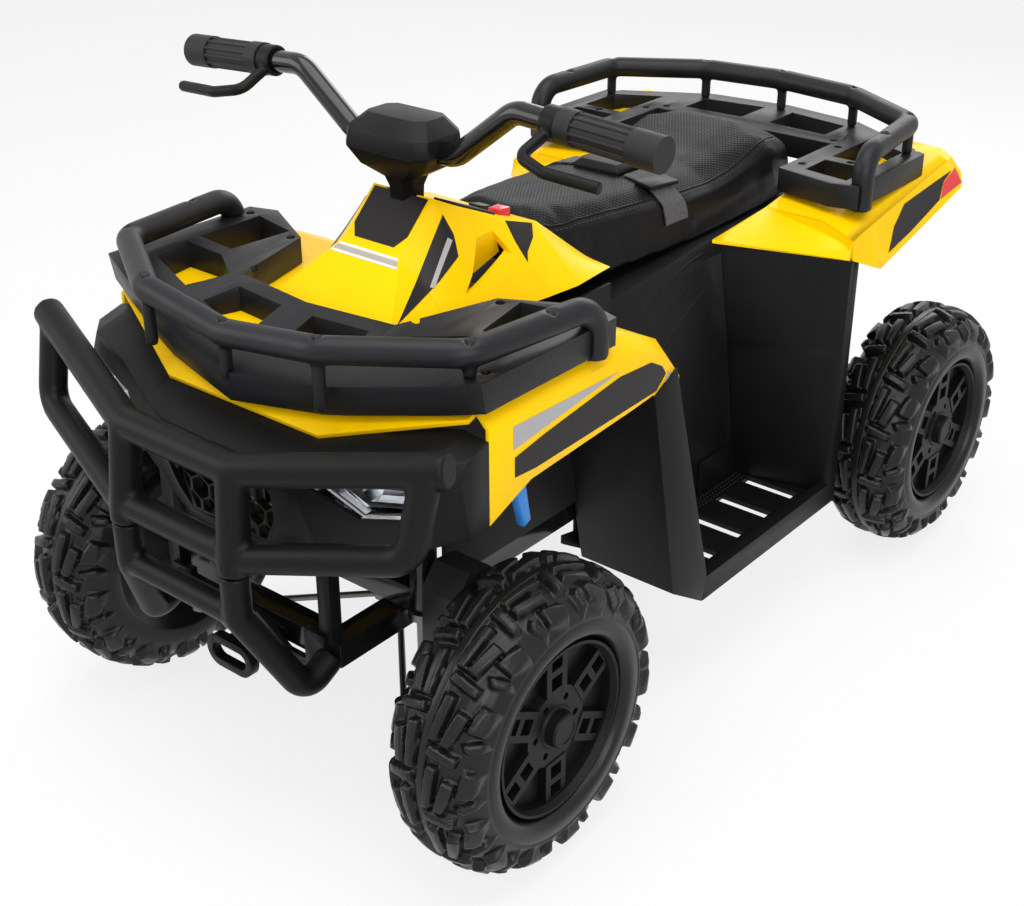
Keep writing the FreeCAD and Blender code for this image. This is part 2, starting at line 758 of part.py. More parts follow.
def make_grille():
    plate = front_prism(shrunk(GRILLE_OUTLINE, LENS_FIT), -494, -488)
    rim = front_prism(shrunk(GRILLE_OUTLINE, 4), -495, -487)
    mesh = rim
    step_x = HEX_ACROSS * 0.87 + HEX_WEB
    rows = []
    for row in range(5):
        for column in range(-4, 5):
            x = column * step_x + (row % 2) * step_x / 2
            z = 310 + row * HEX_ACROSS * 0.8
            r = HEX_ACROSS / 2
            turns = [math.radians(60 * k) for k in range(6)]
            points = [(x + r * math.sin(turn), z + r * math.cos(turn)) for turn in turns]
            rows.append(front_prism(points, -500, -480))
    holes = Part.makeCompound(rows)
    mesh = mesh.cut(holes)
    border = plate.cut(rim)
    return largest(fuse_all([border] + mesh.Solids))


# Bull bar: an upper cage and a lower cage joined at two sockets, a skid plate and a tow loop
SOCKET_GAP = 0.3
LOWER_D = 27.0
LOWER_END = (RAIL_X, FRAME_FRONT_Y, RAIL_Z - 4.0)


def make_upper_bumper():
    r = BAR_D / 2
    end_x, end_y, end_z = BAR_END
    low_x, low_y, low_z = LOOP_LOW
    top_half = [(end_x, end_y, end_z), (BAR_BEND_X, BAR_Y + 11, BAR_BEND_Z)]
    top = tube(top_half + mirror_points(top_half), r, 40)
    pieces = [top]
    drop_x = end_x - 18
    drop_y = end_y - 6
    loop = tube([
        (drop_x, drop_y, end_z - 4), (low_x, low_y, low_z), (BAR_BEND_X + 2, BAR_Y + 2, BAR_JOINT_Z + 14),
    ], r * 0.92, 26)
    post = rod(r, (BAR_BEND_X, BAR_Y + 10, BAR_BEND_Z - 2), (BAR_BEND_X + 2, BAR_Y, BAR_JOINT_Z))
    pieces += [loop, mirrored(loop), post, mirrored(post)]
    cross = rod(r * 0.92, (-BAR_BEND_X, BAR_Y + 2, BAR_JOINT_Z + 18), (BAR_BEND_X, BAR_Y + 2, BAR_JOINT_Z + 18))
    pieces.append(cross)
    below = box(-300, 300, BAR_Y - 40, BAR_Y + 60, BAR_JOINT_Z - 30, BAR_JOINT_Z)
    return largest(fuse_all(pieces).cut(below))


def make_lower_bumper():
    r = LOWER_D / 2
    top = BAR_JOINT_Z - SOCKET_GAP
    side = tube([
        (BAR_BEND_X + 2, BAR_Y, top), (BAR_BEND_X + 2, BAR_Y, top - 44), (RAIL_X, -512, RAIL_Z - 22), LOWER_END,
    ], r, 16)
    spigot = rod(r - 4, (BAR_BEND_X + 2, BAR_Y, top - 2), (BAR_BEND_X + 2, BAR_Y, top))
    cross = rod(r * 0.9, (-BAR_BEND_X, BAR_Y, top - 42), (BAR_BEND_X, BAR_Y, top - 42))
    pieces = [side, mirrored(side), spigot, mirrored(spigot), cross]
    return largest(fuse_all(pieces).cut(FRAME))


TOW_Y = -512.0
TOW_Z = 168.0
TOW_T = 10.0


def racetrack(half_length, radius, y, z):
    top = z + radius
    low = z - radius
    left = V(-half_length, y, z)
    right = V(half_length, y, z)
    edges = [
        Part.LineSegment(V(-half_length, y, top), V(half_length, y, top)).toShape(),
        Part.Arc(V(half_length, y, top), right + V(radius, 0, 0), V(half_length, y, low)).toShape(),
        Part.LineSegment(V(half_length, y, low), V(-half_length, y, low)).toShape(),
        Part.Arc(V(-half_length, y, low), left - V(radius, 0, 0), V(-half_length, y, top)).toShape(),
    ]
    return Part.Face(Part.Wire(edges)).extrude(V(0, TOW_T, 0))


def tow_loop():
    loop = racetrack(14, 17, TOW_Y, TOW_Z).cut(racetrack(14, 9, TOW_Y, TOW_Z))
    stem = box(-9, 9, TOW_Y + 1, TOW_Y + 36, TOW_Z + 10, TOW_Z + 16)
    return loop.fuse(stem)


def make_skid_plate(bumper):
    sections = []
    for x, top_y, low_y in ((-56, -520, -470), (-30, -526, -474), (30, -526, -474), (56, -520, -470)):
        sections.append([(x, top_y, 246), (x, low_y, 156), (x, low_y + 6, 156), (x, top_y + 6, 246)])
    plate = loft(sections)
    for k in range(4):
        slot = box(-34, 34, -560, -440, 172 + 17 * k, 179 + 17 * k)
        plate = plate.cut(slot)
    wing = loft([
        [(84, -496, 282), (76, -490, 268), (76, -484, 268), (84, -490, 282)],
        [(128, -452, 176), (100, -452, 160), (100, -446, 160), (128, -446, 176)],
    ])
    shelf = box(-RAIL_X, RAIL_X, -484, FRAME_FRONT_Y, RAIL_Z - 24, RAIL_Z - 16)
    web = box(78, 104, FRAME_FRONT_Y - 8, FRAME_FRONT_Y, RAIL_Z - 20, RAIL_Z + 20)
    whole = fuse_all([plate, shelf, wing, mirrored(wing), web, mirrored(web), tow_loop()])
    return clear_of(whole, bumper, FRAME)


# Racks: a tray with pockets and a skirt, a tube rail on posts
POST_R = POST_D / 2
RAIL_R = RAIL_TUBE_D / 2
RAIL_BEND = 26.0
FRONT_RAIL = [
    (BODY_X - 4, -262.0, FRONT_RAIL_Z), (BODY_X - 21, -410.0, FRONT_RAIL_Z),
    (109.0, -476.0, FRONT_RAIL_Z - 4), (0.0, -482.0, FRONT_RAIL_Z - 16),
]
TRAY_BASE = HOOD_Z + 2.0
SKIRT_H = 28.0
# x, front y, top of the skirt, y of the fold behind it, its height, rear y
FRONT_TRAY = [
    (0.0, -486.0, 452.0, -452.0, 464.0, -384.0),
    (98.0, -467.0, 461.0, -432.0, 474.0, -372.0),
    (128.0, -458.0, 466.0, -424.0, 478.0, -268.0),
    (206.0, -431.0, 480.0, -398.0, RACK_TOP_Z, -226.0),
    (BODY_X, -420.0, 487.0, -392.0, RACK_TOP_Z + 1, -236.0),
]
FRONT_POCKETS = [
    [(150, -262), (208, -250), (208, -330), (162, -330)],
    [(158, -346), (208, -346), (200, -392), (132, -414), (118, -372)],
    [(20, -396), (84, -390), (96, -424), (20, -444)],
]
REAR_POCKETS = [
    [(150, 246), (206, 238), (206, 292), (150, 292)],
    [(150, 308), (206, 308), (206, 372), (150, 402)],
    [(20, 384), (100, 380), (100, 428), (20, 440)],
]


def whole_outline(half):
    right = [(-x, y) for x, y in reversed(half) if x > 0]
    return half + right


def cut_pockets(tray, pockets):
    for outline in pockets:
        pocket = plan_prism(outline, RACK_TOP_Z - 90, RACK_TOP_Z + 10)
        tray = tray.cut(pocket).cut(mirrored(pocket))
    return tray


def tray_section(x, front_y, front_z, fold_y, fold_z, rear_y):
    return [
        (x, front_y + 5, front_z - SKIRT_H), (x, front_y, front_z), (x, fold_y, fold_z),
        (x, rear_y, RACK_TOP_Z), (x, rear_y, TRAY_BASE),
    ]


def make_front_tray(hood, tank):
    left = [tray_section(*station) for station in FRONT_TRAY]
    right = [tray_section(-station[0], *station[1:]) for station in reversed(FRONT_TRAY[1:])]
    return clear_of(cut_pockets(loft(right + left), FRONT_POCKETS), hood, tank)


def make_rail(corners, bend, *carriers):
    foot = (corners[0][0], corners[0][1], RACK_TOP_Z - 30)
    half = [foot] + corners[:-1]
    pieces = [tube(half + [corners[-1]] + mirror_points(half), RAIL_R, bend)]
    for x, y, z in corners[1:]:
        for side in ((1, -1) if x > 0 else (1,)):
            pieces.append(rod(POST_R, (side * x, y, RACK_TOP_Z - 40), (side * x, y, z)))
    return clear_of(fuse_all(pieces), *carriers)


REAR_TRAY = [(0, 468), (106, 454), (228, 384), (228, 226), (196, 218), (124, 232), (124, 352), (0, 352)]
REAR_RAIL = [
    (225.0, 240.0, REAR_RAIL_Z - 4), (211.0, 372.0, REAR_RAIL_Z), (106.0, 435.0, REAR_RAIL_Z + 1),
    (0.0, 446.0, REAR_RAIL_Z + 2),
]


def make_rear_tray(fender):
    tray = plan_prism(whole_outline(REAR_TRAY), RACK_TOP_Z - 27, RACK_TOP_Z)
    return clear_of(cut_pockets(tray, REAR_POCKETS), fender)


# Rear body: yellow deck and fenders in one shell, open in the middle for the seat. Each station is
# y, height of the deck, x and height of the crease, x and height of the lower edge
FENDER_STATIONS = [
    (FOOT_REAR_Y, 448.0, FENDER_X - 11, 432.0, FENDER_X - 8, 410.0),
    (FOOT_REAR_Y + 44, 455.0, FENDER_X - 11, 440.0, FENDER_X + 4, 391.0),
    (FENDER_END_Y - 10, 474.0, FENDER_X - 18, 464.0, FENDER_X + 4, 437.0),
    (FENDER_END_Y + 6, 474.0, FENDER_X - 21, 466.0, FENDER_X - 6, 449.0),
]
SEAT_BAY_X = 128.0
LIP_Y = 94.0
LIP_Z = 440.0


def fender_section(y, deck_z, crease_x, crease_z, edge_x, edge_z):
    t = WALL
    outer = [(edge_x, edge_z), (crease_x, crease_z), (crease_x - 14, crease_z + 7), (crease_x - 40, deck_z)]
    inner = [(x - t * 0.7, z - t) for x, z in outer[1:]]
    inner = [(edge_x - t, edge_z)] + inner
    ring = outer + [(-x, z) for x, z in reversed(outer)] + [(-x, z) for x, z in inner] + list(reversed(inner))
    return [(x, y, z) for x, z in ring]


def make_rear_fender():
    shell = loft([fender_section(*station) for station in FENDER_STATIONS])
    y, deck_z, crease_x, crease_z, edge_x, edge_z = FENDER_STATIONS[0]
    lip = loft([
        [(SEAT_BAY_X, LIP_Y, LIP_Z), (SEAT_BAY_X, y + 2, deck_z),
         (SEAT_BAY_X, y + 2, deck_z - WALL), (SEAT_BAY_X, LIP_Y, LIP_Z - WALL)],
        [(crease_x, y - 6, edge_z + 2), (crease_x, y + 2, crease_z),
         (crease_x, y + 2, crease_z - WALL), (crease_x, y - 2, edge_z)],
    ])
    seat_bay = box(-SEAT_BAY_X, SEAT_BAY_X, 60, 356, 380, 500)
    tail_bay = plan_prism([(-150, 480), (-112, 392), (112, 392), (150, 480)], 380, 500)
    return largest(fuse_all([shell, lip, mirrored(lip)]).cut(seat_bay).cut(tail_bay))


# Footwells: floor with slots, sill, rear wall, thick front wall with the outer pillar, and a liner
# that closes the body behind the front wheel
LINER_FRONT_Y = FRONT_Y + KINGPIN_D + 22.0


def make_footwell(rear_fender, hood, side):
    x0 = TUNNEL_X
    x1 = BODY_X + 2
    top = FLOOR_Z + FLOOR_T
    floor = box(x0, x1, FOOT_FRONT_Y, FOOT_REAR_Y, FLOOR_Z, top)
    pitch = (FOOT_REAR_Y - FOOT_FRONT_Y - 30) / SLOT_COUNT
    for i in range(SLOT_COUNT):
        y = FOOT_FRONT_Y + 32 + pitch * (i + 0.5)
        floor = floor.cut(box(x0 + 22, x1 - 30, y - 8, y + 8, FLOOR_Z - 1, top + 1))
    sill = box(x1 - 12, x1, FOOT_FRONT_Y - 4, FOOT_REAR_Y, FLOOR_Z - 8, FLOOR_Z + SILL_H)
    rear_wall = loft([
        [(x1, FOOT_REAR_Y, FLOOR_Z), (x1, FOOT_REAR_Y + WALL, FLOOR_Z),
         (x0, FOOT_REAR_Y - 20 + WALL, FLOOR_Z), (x0, FOOT_REAR_Y - 20, FLOOR_Z)],
        [(x1, FOOT_REAR_Y, 300), (x1, FOOT_REAR_Y + WALL, 300), (x0, 150 + WALL, 300), (x0, 150, 300)],
        [(x1, FOOT_REAR_Y, 412), (x1, FOOT_REAR_Y + WALL, 412),
         (x0 + 12, LIP_Y + 8 + WALL, LIP_Z - 8), (x0 + 12, LIP_Y + 8, LIP_Z - 8)],
    ])
    side_flare = box(x1 - WALL, x1, FOOT_REAR_Y, FOOT_REAR_Y + 18, FLOOR_Z - 8, 408)
    front = [(-136.0, 402.0), (FOOT_FRONT_Y, FLOOR_Z + 24), (FOOT_FRONT_Y - 6, FLOOR_Z - 8),
             (FOOT_FRONT_Y - 64, FLOOR_Z + 30), (-172.0, 384.0)]
    hollow = [(-140.0, 394.0), (FOOT_FRONT_Y - 8, FLOOR_Z + 24), (FOOT_FRONT_Y - 10, FLOOR_Z - 20),
              (FOOT_FRONT_Y - 58, FLOOR_Z + 20), (-164.0, 384.0)]
    front_wall = side_prism(front, x0, x1).cut(side_prism(hollow, x0 + WALL, x1 - WALL))
    liner = box(x0, x0 + WALL, LINER_FRONT_Y, FOOT_FRONT_Y - 30, RAIL_Z + RAIL / 2 + 4, HOOD_Z - 12)
    tub = fuse_all([floor, sill, rear_wall, side_flare, front_wall, liner])
    if side < 0:
        tub = fuse_all([mirrored(tub)] + pedal_ears())
    return clear_of(tub, hood, rear_fender, FRAME)


# Centre body under the seat: hollow housing for battery and controls
def make_centre_body(hood, tank, fender, tubs):
    stations = [
        (-128.0, TUNNEL_X - 20, 150.0, 396.0),
        (-60.0, TUNNEL_X - 2, FLOOR_Z, 414.0),
        (104.0, TUNNEL_X - 0.3, FLOOR_Z, SEAT_BASE_Z - 1),
        (330.0, TUNNEL_X - 0.3, 180.0, SEAT_BASE_Z - 1),
    ]

    def housing(inset, sink):
        sections = []
        for y, half, low, top in stations:
            h = half - inset
            sections.append([(h, y, low - sink), (h, y, top - inset - 14), (h - 10, y, top - inset),
                             (10 - h, y, top - inset), (-h, y, top - inset - 14), (-h, y, low - sink)])
        return loft(sections)

    body = housing(0, 0).cut(housing(WALL, 20))
    rail_room = box(-RAIL_X - RAIL, RAIL_X + RAIL, -200, 500, RAIL_Z - 30, RAIL_Z + 30)
    ends = box(-300, 300, -150, -112, RAIL_Z - 40, RAIL_Z + 30)
    body = body.cut(ends).cut(rail_room.common(box(-300, 300, 318, 500, 0, 500)))
    return clear_of(body, hood, tank, fender, *tubs, FRAME, GEARBOX, mirrored(GEARBOX))


# Seat: narrow nose, dished middle, raised rear hump, crowned across
def seat_section(y, half, top, crown_h, base):
    shoulder = half * 0.80
    points = [
        (half * 0.96, base), (half, base + (top - base) * 0.45), (half * 0.95, top - 12), (shoulder, top - 2),
        (half * 0.35, top + crown_h * 0.8), (-half * 0.35, top + crown_h * 0.8),
        (-shoulder, top - 2), (-half * 0.95, top - 12), (-half, base + (top - base) * 0.45), (-half * 0.96, base),
    ]
    return [(x, y, z) for x, z in points]


SEAT_STATIONS = [
    (TANK_REAR_Y + 4, 66.0, TANK_REAR_Z - 6, 4.0, TANK_REAR_Z - 26),
    (TANK_REAR_Y + 60, 84.0, 501.0, 5.0, SEAT_BASE_Z),
    (20.0, 96.0, 495.0, 6.0, SEAT_BASE_Z),
    (104.0, SEAT_X, HUMP_Z - 25, 6.0, SEAT_BASE_Z),
    (150.0, SEAT_X, HUMP_Z - 26, 7.0, SEAT_BASE_Z),
    (192.0, SEAT_X, HUMP_Z - 22, 8.0, SEAT_BASE_Z),
    (270.0, SEAT_X - 2, HUMP_Z - 8, 8.0, SEAT_BASE_Z),
    (SEAT_REAR_Y, SEAT_X - 12, HUMP_Z - 18, 4.0, SEAT_BASE_Z),
]


def make_seat(tank, fender):
    seat = loft([seat_section(*s) for s in SEAT_STATIONS])
    return clear_of(seat, tank, fender)


# Battery and control box, standing on the cross tubes
BATTERY = (130.0, 151.0, 94.0)
BATTERY_Y = 45.0
CONTROL_BOX = (80.0, 50.0, 35.0)
CONTROL_Y = 215.0


def block_on_frame(size, y):
    w, d, h = size
    z = RAIL_Z + RAIL / 2
    body = box(-w / 2, w / 2, y - d / 2, y + d / 2, z, z + h)
    return body.makeChamfer(4.0, body.Edges)


# Dash panel, start button and direction switch on the tank top
PANEL_T = 3.0
BUTTON_FIT = 0.4
BUTTON = (16.0, 16.0, 7.0)
BUTTON_AT = (42.0, -162.0)
SWITCH_AT = (17.0, -162.0)
SWITCH_SWING = 1.6
SWITCH_PIVOT = 3.0
SWITCH_PIVOT_R = 7.4


def tank_top(y):
    for (y0, _, _, z0), (y1, _, _, z1) in zip(TOWER_STATIONS, TOWER_STATIONS[1:]):
        if y0 <= y <= y1:
            return z0 + (z1 - z0) * (y - y0) / (y1 - y0)
    return TANK_REAR_Z


def make_dash_panel():
    sections = []
    for x0, x1, y in ((10, 40, -222), (16, 56, -184)):
        z = tank_top(y)
        sections.append([(x0, y, z), (x1, y, z), (x1 - 1, y, z + PANEL_T), (x0 + 1, y, z + PANEL_T)])
    return loft(sections)


def key_block(at, fit, swing, low, high):
    x, y = at
    w = BUTTON[0] / 2 + fit
    d = BUTTON[1] / 2 + swing
    z = tank_top(y)
    return box(x - w, x + w, y - d, y + d, z + low, z + high)


def make_start_button():
    return key_block(BUTTON_AT, 0, 0, -10, BUTTON[2])


def make_switch():
    x, y = SWITCH_AT
    w, d, _ = BUTTON
    z = tank_top(y)
    profile = [
        (y - d / 2, z + 7), (y, z + 4.5), (y + d / 2, z + 3), (y + d / 2 - 3, z - 8), (y - d / 2 + 3, z - 8),
    ]
    rocker = side_prism(profile, x - w / 2, x + w / 2)
    pivot_z = z - SWITCH_PIVOT
    return rocker.fuse(rod(SWITCH_PIVOT_R, (x - w / 2, y, pivot_z), (x + w / 2, y, pivot_z))).removeSplitter()


# Accelerator pedal on the right footwell floor, hinged at its rear edge
PEDAL_X = 176.0
PEDAL_W = 52.0
PEDAL_Y = 42.0
PEDAL_L = 86.0
PEDAL_RISE = 34.0
PEDAL_PIN_R = 3.0
EAR_T = 5.0
PEDAL_Z = FLOOR_Z + FLOOR_T + 9.0


def make_pedal():
    x0 = -PEDAL_X - PEDAL_W / 2
    x1 = -PEDAL_X + PEDAL_W / 2
    tip = PEDAL_Y - PEDAL_L
    plate = side_prism([
        (PEDAL_Y + 6, PEDAL_Z - 5), (PEDAL_Y + 6, PEDAL_Z + 5),
        (tip, PEDAL_Z + PEDAL_RISE), (tip - 4, PEDAL_Z + PEDAL_RISE - 8),
    ], x0, x1)
    for i in range(4):
        y = PEDAL_Y - 18 - 16 * i
        z = PEDAL_Z + 5 + (PEDAL_RISE - 5) * (PEDAL_Y + 6 - y) / (PEDAL_L + 6)
        plate = plate.fuse(box(x0 + 5, x1 - 5, y - 3, y + 3, z - 4, z + 1.6))
    reach = PEDAL_W / 2 + EAR_T
    pin = rod(PEDAL_PIN_R, (-PEDAL_X - reach, PEDAL_Y, PEDAL_Z), (-PEDAL_X + reach, PEDAL_Y, PEDAL_Z))
    return largest(plate.fuse(pin))


def pedal_ears():
    ears = []
    for side in (1, -1):
        x = -PEDAL_X + side * (PEDAL_W / 2 + 0.4 + EAR_T / 2)
        ear = box(x - EAR_T / 2, x + EAR_T / 2, PEDAL_Y - 8, PEDAL_Y + 8, FLOOR_Z + 1, PEDAL_Z + 7)
        ears.append(ear.cut(rod(PEDAL_PIN_R + RUN_FIT, (x - 9, PEDAL_Y, PEDAL_Z), (x + 9, PEDAL_Y, PEDAL_Z))))
    return ears


# Lap belt: two webbing straps that lie on the seat, a buckle and a ladder-lock adjuster
STRAP_Y0 = 56.0
STRAP_Y1 = 94.0
STRAP_T = 2.0
STRAP_GAP = 0.4
BUCKLE = (60.0, 46.0, 13.0)


def seat_outline(y):
    for first, second in zip(SEAT_STATIONS, SEAT_STATIONS[1:]):
        if first[0] <= y <= second[0]:
            part = (y - first[0]) / (second[0] - first[0])
            near = seat_section(*first)
            far = seat_section(*second)
            return [(p[0] + (q[0] - p[0]) * part, p[2] + (q[2] - p[2]) * part) for p, q in zip(near, far)]
    return []


def moved_out(line, distance):
    moved = []
    for i, (x, z) in enumerate(line):
        x0, z0 = line[max(i - 1, 0)]
        x1, z1 = line[min(i + 1, len(line) - 1)]
        length = math.hypot(x1 - x0, z1 - z0)
        moved.append((x + (z1 - z0) / length * distance, z - (x1 - x0) / length * distance))
    return moved


def make_strap(side):
    sections = []
    for y in (STRAP_Y0, STRAP_Y1):
        line = seat_outline(y)[1:5]
        line.append((BUCKLE[0] / 2 + STRAP_GAP, line[-1][1]))
        ring = moved_out(line, STRAP_GAP + STRAP_T) + list(reversed(moved_out(line, STRAP_GAP)))
        sections.append([(x, y, z) for x, z in ring])
    strap = loft(sections)
    return strap if side > 0 else mirrored(strap)


def make_buckle():
    y = (STRAP_Y0 + STRAP_Y1) / 2
    w, d, h = BUCKLE
    low = max(p[1] for p in seat_outline(y - d / 2) + seat_outline(y + d / 2)) + STRAP_GAP
    block = loft([
        [(-w / 2, y - d / 2, low), (w / 2, y - d / 2, low), (w / 2, y + d / 2, low), (-w / 2, y + d / 2, low)],
        [(-w / 2, y - d / 2, low + h * 0.6), (w / 2, y - d / 2, low + h * 0.6),
         (w / 2, y + d / 2, low + h * 0.6), (-w / 2, y + d / 2, low + h * 0.6)],
        [(-w / 2 + 6, y - d / 2 + 5, low + h), (w / 2 - 6, y - d / 2 + 5, low + h),
         (w / 2 - 6, y + d / 2 - 5, low + h), (6 - w / 2, y + d / 2 - 5, low + h)],
    ])
    return block


def make_adjuster():
    sections = []
    for y in (STRAP_Y0 - 5, STRAP_Y1 + 5):
        line = seat_outline(y)[3:5]
        (x0, z0), (x1, z1) = line
        run = [(x0 + (x1 - x0) * 0.12, z0 + (z1 - z0) * 0.12), (x0 + (x1 - x0) * 0.60, z0 + (z1 - z0) * 0.60)]
        low = moved_out(run, STRAP_GAP + STRAP_T + 0.2)
        high = moved_out(run, STRAP_GAP + STRAP_T + 5)
        sections.append([(x, y, z) for x, z in high + list(reversed(low))])
    return loft(sections)


# Lamp lead connector under the left fender
def make_connector():
    x = BODY_X - WALL
    return side_prism([(-372, 372), (-358, 372), (-350, 330), (-360, 326)], x - 9, x)


def make_part_list():
    hood = make_hood()
    hood = largest(hood.cut(rod(14, (0, COLUMN_Y, 380), (0, COLUMN_Y, 500))).cut(FRAME))
    tank = make_tank_cover(hood)
    for at, swing in ((BUTTON_AT, BUTTON_FIT), (SWITCH_AT, SWITCH_SWING)):
        tank = largest(tank.cut(key_block(at, BUTTON_FIT, swing, -40, 40)))
    fender = make_rear_fender()
    fascia = make_fascia(hood)
    lower_bumper = make_lower_bumper()
    skid = clear_of(make_skid_plate(lower_bumper), fascia)
    tubs = [make_footwell(fender, hood, side) for side in (1, -1)]
    centre = make_centre_body(hood, tank, fender, tubs)
    seat = make_seat(tank, fender)
    seat = clear_of(seat, centre, *tubs)
    front_tray = clear_of(make_front_tray(hood, tank), fascia)
    front_rail = make_rail(FRONT_RAIL, RAIL_BEND, front_tray, hood)
    rear_tray = clear_of(make_rear_tray(fender), seat)
    rear_rail = make_rail(REAR_RAIL, RAIL_BEND, rear_tray, fender)
    lens = clear_of(make_lens(), fascia)
    reflector = clear_of(make_reflector(), fascia, lens)
    nodes = {
        "main_frame": FRAME,
        "rear_axle": REAR_AXLE,
        "gearbox_left": GEARBOX,
        "gearbox_right": mirrored(GEARBOX),
        "front_hood": hood,
        "tank_cover": tank,
        "rear_fender": fender,
        "front_fascia": fascia,
        "grille_mesh": clear_of(make_grille(), fascia),
        "headlight_lens_left": lens,
        "headlight_lens_right": mirrored(lens),
        "headlight_reflector_left": reflector,
        "headlight_reflector_right": mirrored(reflector),
        "bumper_upper": make_upper_bumper(),
        "bumper_lower": lower_bumper,
        "skid_plate": skid,
        "front_rack_tray": front_tray,
        "front_rack_rail": front_rail,
        "rear_rack_tray": rear_tray,
        "rear_rack_rail": rear_rail,
        "footwell_left": tubs[0],
        "footwell_right": tubs[1],
        "centre_body": centre,
        "seat": seat,
        "battery": block_on_frame(BATTERY, BATTERY_Y),
        "control_box": block_on_frame(CONTROL_BOX, CONTROL_Y),
        "dash_panel": make_dash_panel(),
        "start_button": make_start_button(),
        "direction_switch": make_switch(),
        "accelerator_pedal": make_pedal(),
        "belt_straps": Part.makeCompound([make_strap(1), make_strap(-1)]),
        "belt_buckle": make_buckle(),
        "belt_adjuster": make_adjuster(),
        "lamp_connector": make_connector(),
        "steering_column": COLUMN,
        "handlebar_tube": BAR_TUBE,
        "bar_cover_upper": BAR_COVER_UPPER,
        "bar_cover_lower": BAR_COVER_LOWER,
        "grip_left": GRIP,
        "grip_right": mirrored(GRIP),
        "lever_left": LEVER,
        "lever_right": mirrored(LEVER),
        "kingpin_left": KINGPIN,
        "kingpin_right": mirrored(KINGPIN),
        "knuckle_left": KNUCKLE_COVER,
        "knuckle_right": mirrored(KNUCKLE_COVER),
        "tie_rod_left": TIE_ROD,
        "tie_rod_right": mirrored(TIE_ROD),
    }
    for end, y in (("front", FRONT_Y), ("rear", REAR_Y)):
        for side_name, side in (("left", 1), ("right", -1)):
            nodes[f"tyre_{end}_{side_name}"] = place_wheel(TYRE, side, y)
            nodes[f"wheel_cover_{end}_{side_name}"] = place_wheel(COVER, side, y)
            nodes[f"hub_cap_{end}_{side_name}"] = place_wheel(HUB_CAP, side, y)
    return nodes


for name, shape in make_part_list().items():
    placed = shape.copy()
    placed.translate(ORIGIN_SHIFT)
    placed.exportStep(f"parts/{name}.step")
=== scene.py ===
import json
import math

import bmesh
import bpy
from mathutils import Matrix, Vector
from mathutils.bvhtree import BVHTree


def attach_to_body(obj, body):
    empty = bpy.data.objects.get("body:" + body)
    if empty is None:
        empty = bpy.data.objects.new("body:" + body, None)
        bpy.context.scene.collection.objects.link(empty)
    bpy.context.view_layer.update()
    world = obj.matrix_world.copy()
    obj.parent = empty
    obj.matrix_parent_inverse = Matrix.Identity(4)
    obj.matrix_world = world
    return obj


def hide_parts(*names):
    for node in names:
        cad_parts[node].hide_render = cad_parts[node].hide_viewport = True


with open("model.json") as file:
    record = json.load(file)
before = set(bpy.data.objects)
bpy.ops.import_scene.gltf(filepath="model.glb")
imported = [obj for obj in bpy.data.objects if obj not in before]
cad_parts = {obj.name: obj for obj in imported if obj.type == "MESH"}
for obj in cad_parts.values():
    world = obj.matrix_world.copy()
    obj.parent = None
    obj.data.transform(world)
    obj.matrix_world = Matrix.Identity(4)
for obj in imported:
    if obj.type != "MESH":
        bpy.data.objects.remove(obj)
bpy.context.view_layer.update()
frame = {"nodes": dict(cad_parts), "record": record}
NODES = frame["nodes"]
BODIES = frame["record"]["behaviour"]["bodies"]
BODY_OF = {node: body for body, members in BODIES.items() for node in members}
SLOT_OF = {row["node"]: row["material_slot"] for row in frame["record"]["subparts"]}

# The layout is written in millimetres from the middle of the wheelbase on the floor
SHIFT_Y = 18.25
MM = 0.001


def at(x, y, z):
    return Vector((x * MM, (y + SHIFT_Y) * MM, z * MM))


# Materials
def new_material(name):
    material = bpy.data.materials.new(name)
    material.use_nodes = True
    tree = material.node_tree
    shader = tree.nodes["Principled BSDF"]
    return material, tree, shader


def add_node(tree, kind, **settings):
    node = tree.nodes.new(kind)
    for key, value in settings.items():
        if key in node.inputs:
            node.inputs[key].default_value = value
        else:
            setattr(node, key, value)
    return node


def object_coords(tree):
    return tree.nodes.new("ShaderNodeTexCoord").outputs["Object"]


def turned(tree, coords, turn):
    node = add_node(tree, "ShaderNodeMapping", Rotation=turn)
    tree.links.new(coords, node.inputs["Vector"])
    return node.outputs["Vector"]


def noise(tree, coords, scale, detail=2.0):
    node = add_node(tree, "ShaderNodeTexNoise", Scale=scale, Detail=detail, Roughness=0.5)
    tree.links.new(coords, node.inputs["Vector"])
    return node.outputs["Fac"]


def bands(tree, coords, scale, direction, distortion=0.0):
    node = add_node(tree, "ShaderNodeTexWave", Scale=scale, Distortion=distortion)
    node.wave_type = "BANDS"
    node.bands_direction = direction
    tree.links.new(coords, node.inputs["Vector"])
    return node.outputs["Fac"]


def product(tree, first, second):
    node = add_node(tree, "ShaderNodeMath", operation="MULTIPLY")
    tree.links.new(first, node.inputs[0])
    tree.links.new(second, node.inputs[1])
    return node.outputs["Value"]


def ramp(tree, value, stops):
    node = tree.nodes.new("ShaderNodeValToRGB")
    ramp_data = node.color_ramp
    while len(ramp_data.elements) < len(stops):
        ramp_data.elements.new(0.5)
    for element, (position, colour) in zip(ramp_data.elements, stops):
        element.position = position
        element.color = (*colour, 1.0)
    tree.links.new(value, node.inputs["Fac"])
    return node.outputs["Color"]


def spread(tree, value, low, high):
    node = tree.nodes.new("ShaderNodeMapRange")
    node.inputs["To Min"].default_value = low
    node.inputs["To Max"].default_value = high
    tree.links.new(value, node.inputs["Value"])
    return node.outputs["Result"]


def bump(tree, shader, height, strength, distance):
    node = add_node(tree, "ShaderNodeBump", Strength=strength, Distance=distance)
    tree.links.new(height, node.inputs["Height"])
    tree.links.new(node.outputs["Normal"], shader.inputs["Normal"])


def scaled(colour, factor):
    return tuple(min(1.0, channel * factor) for channel in colour)


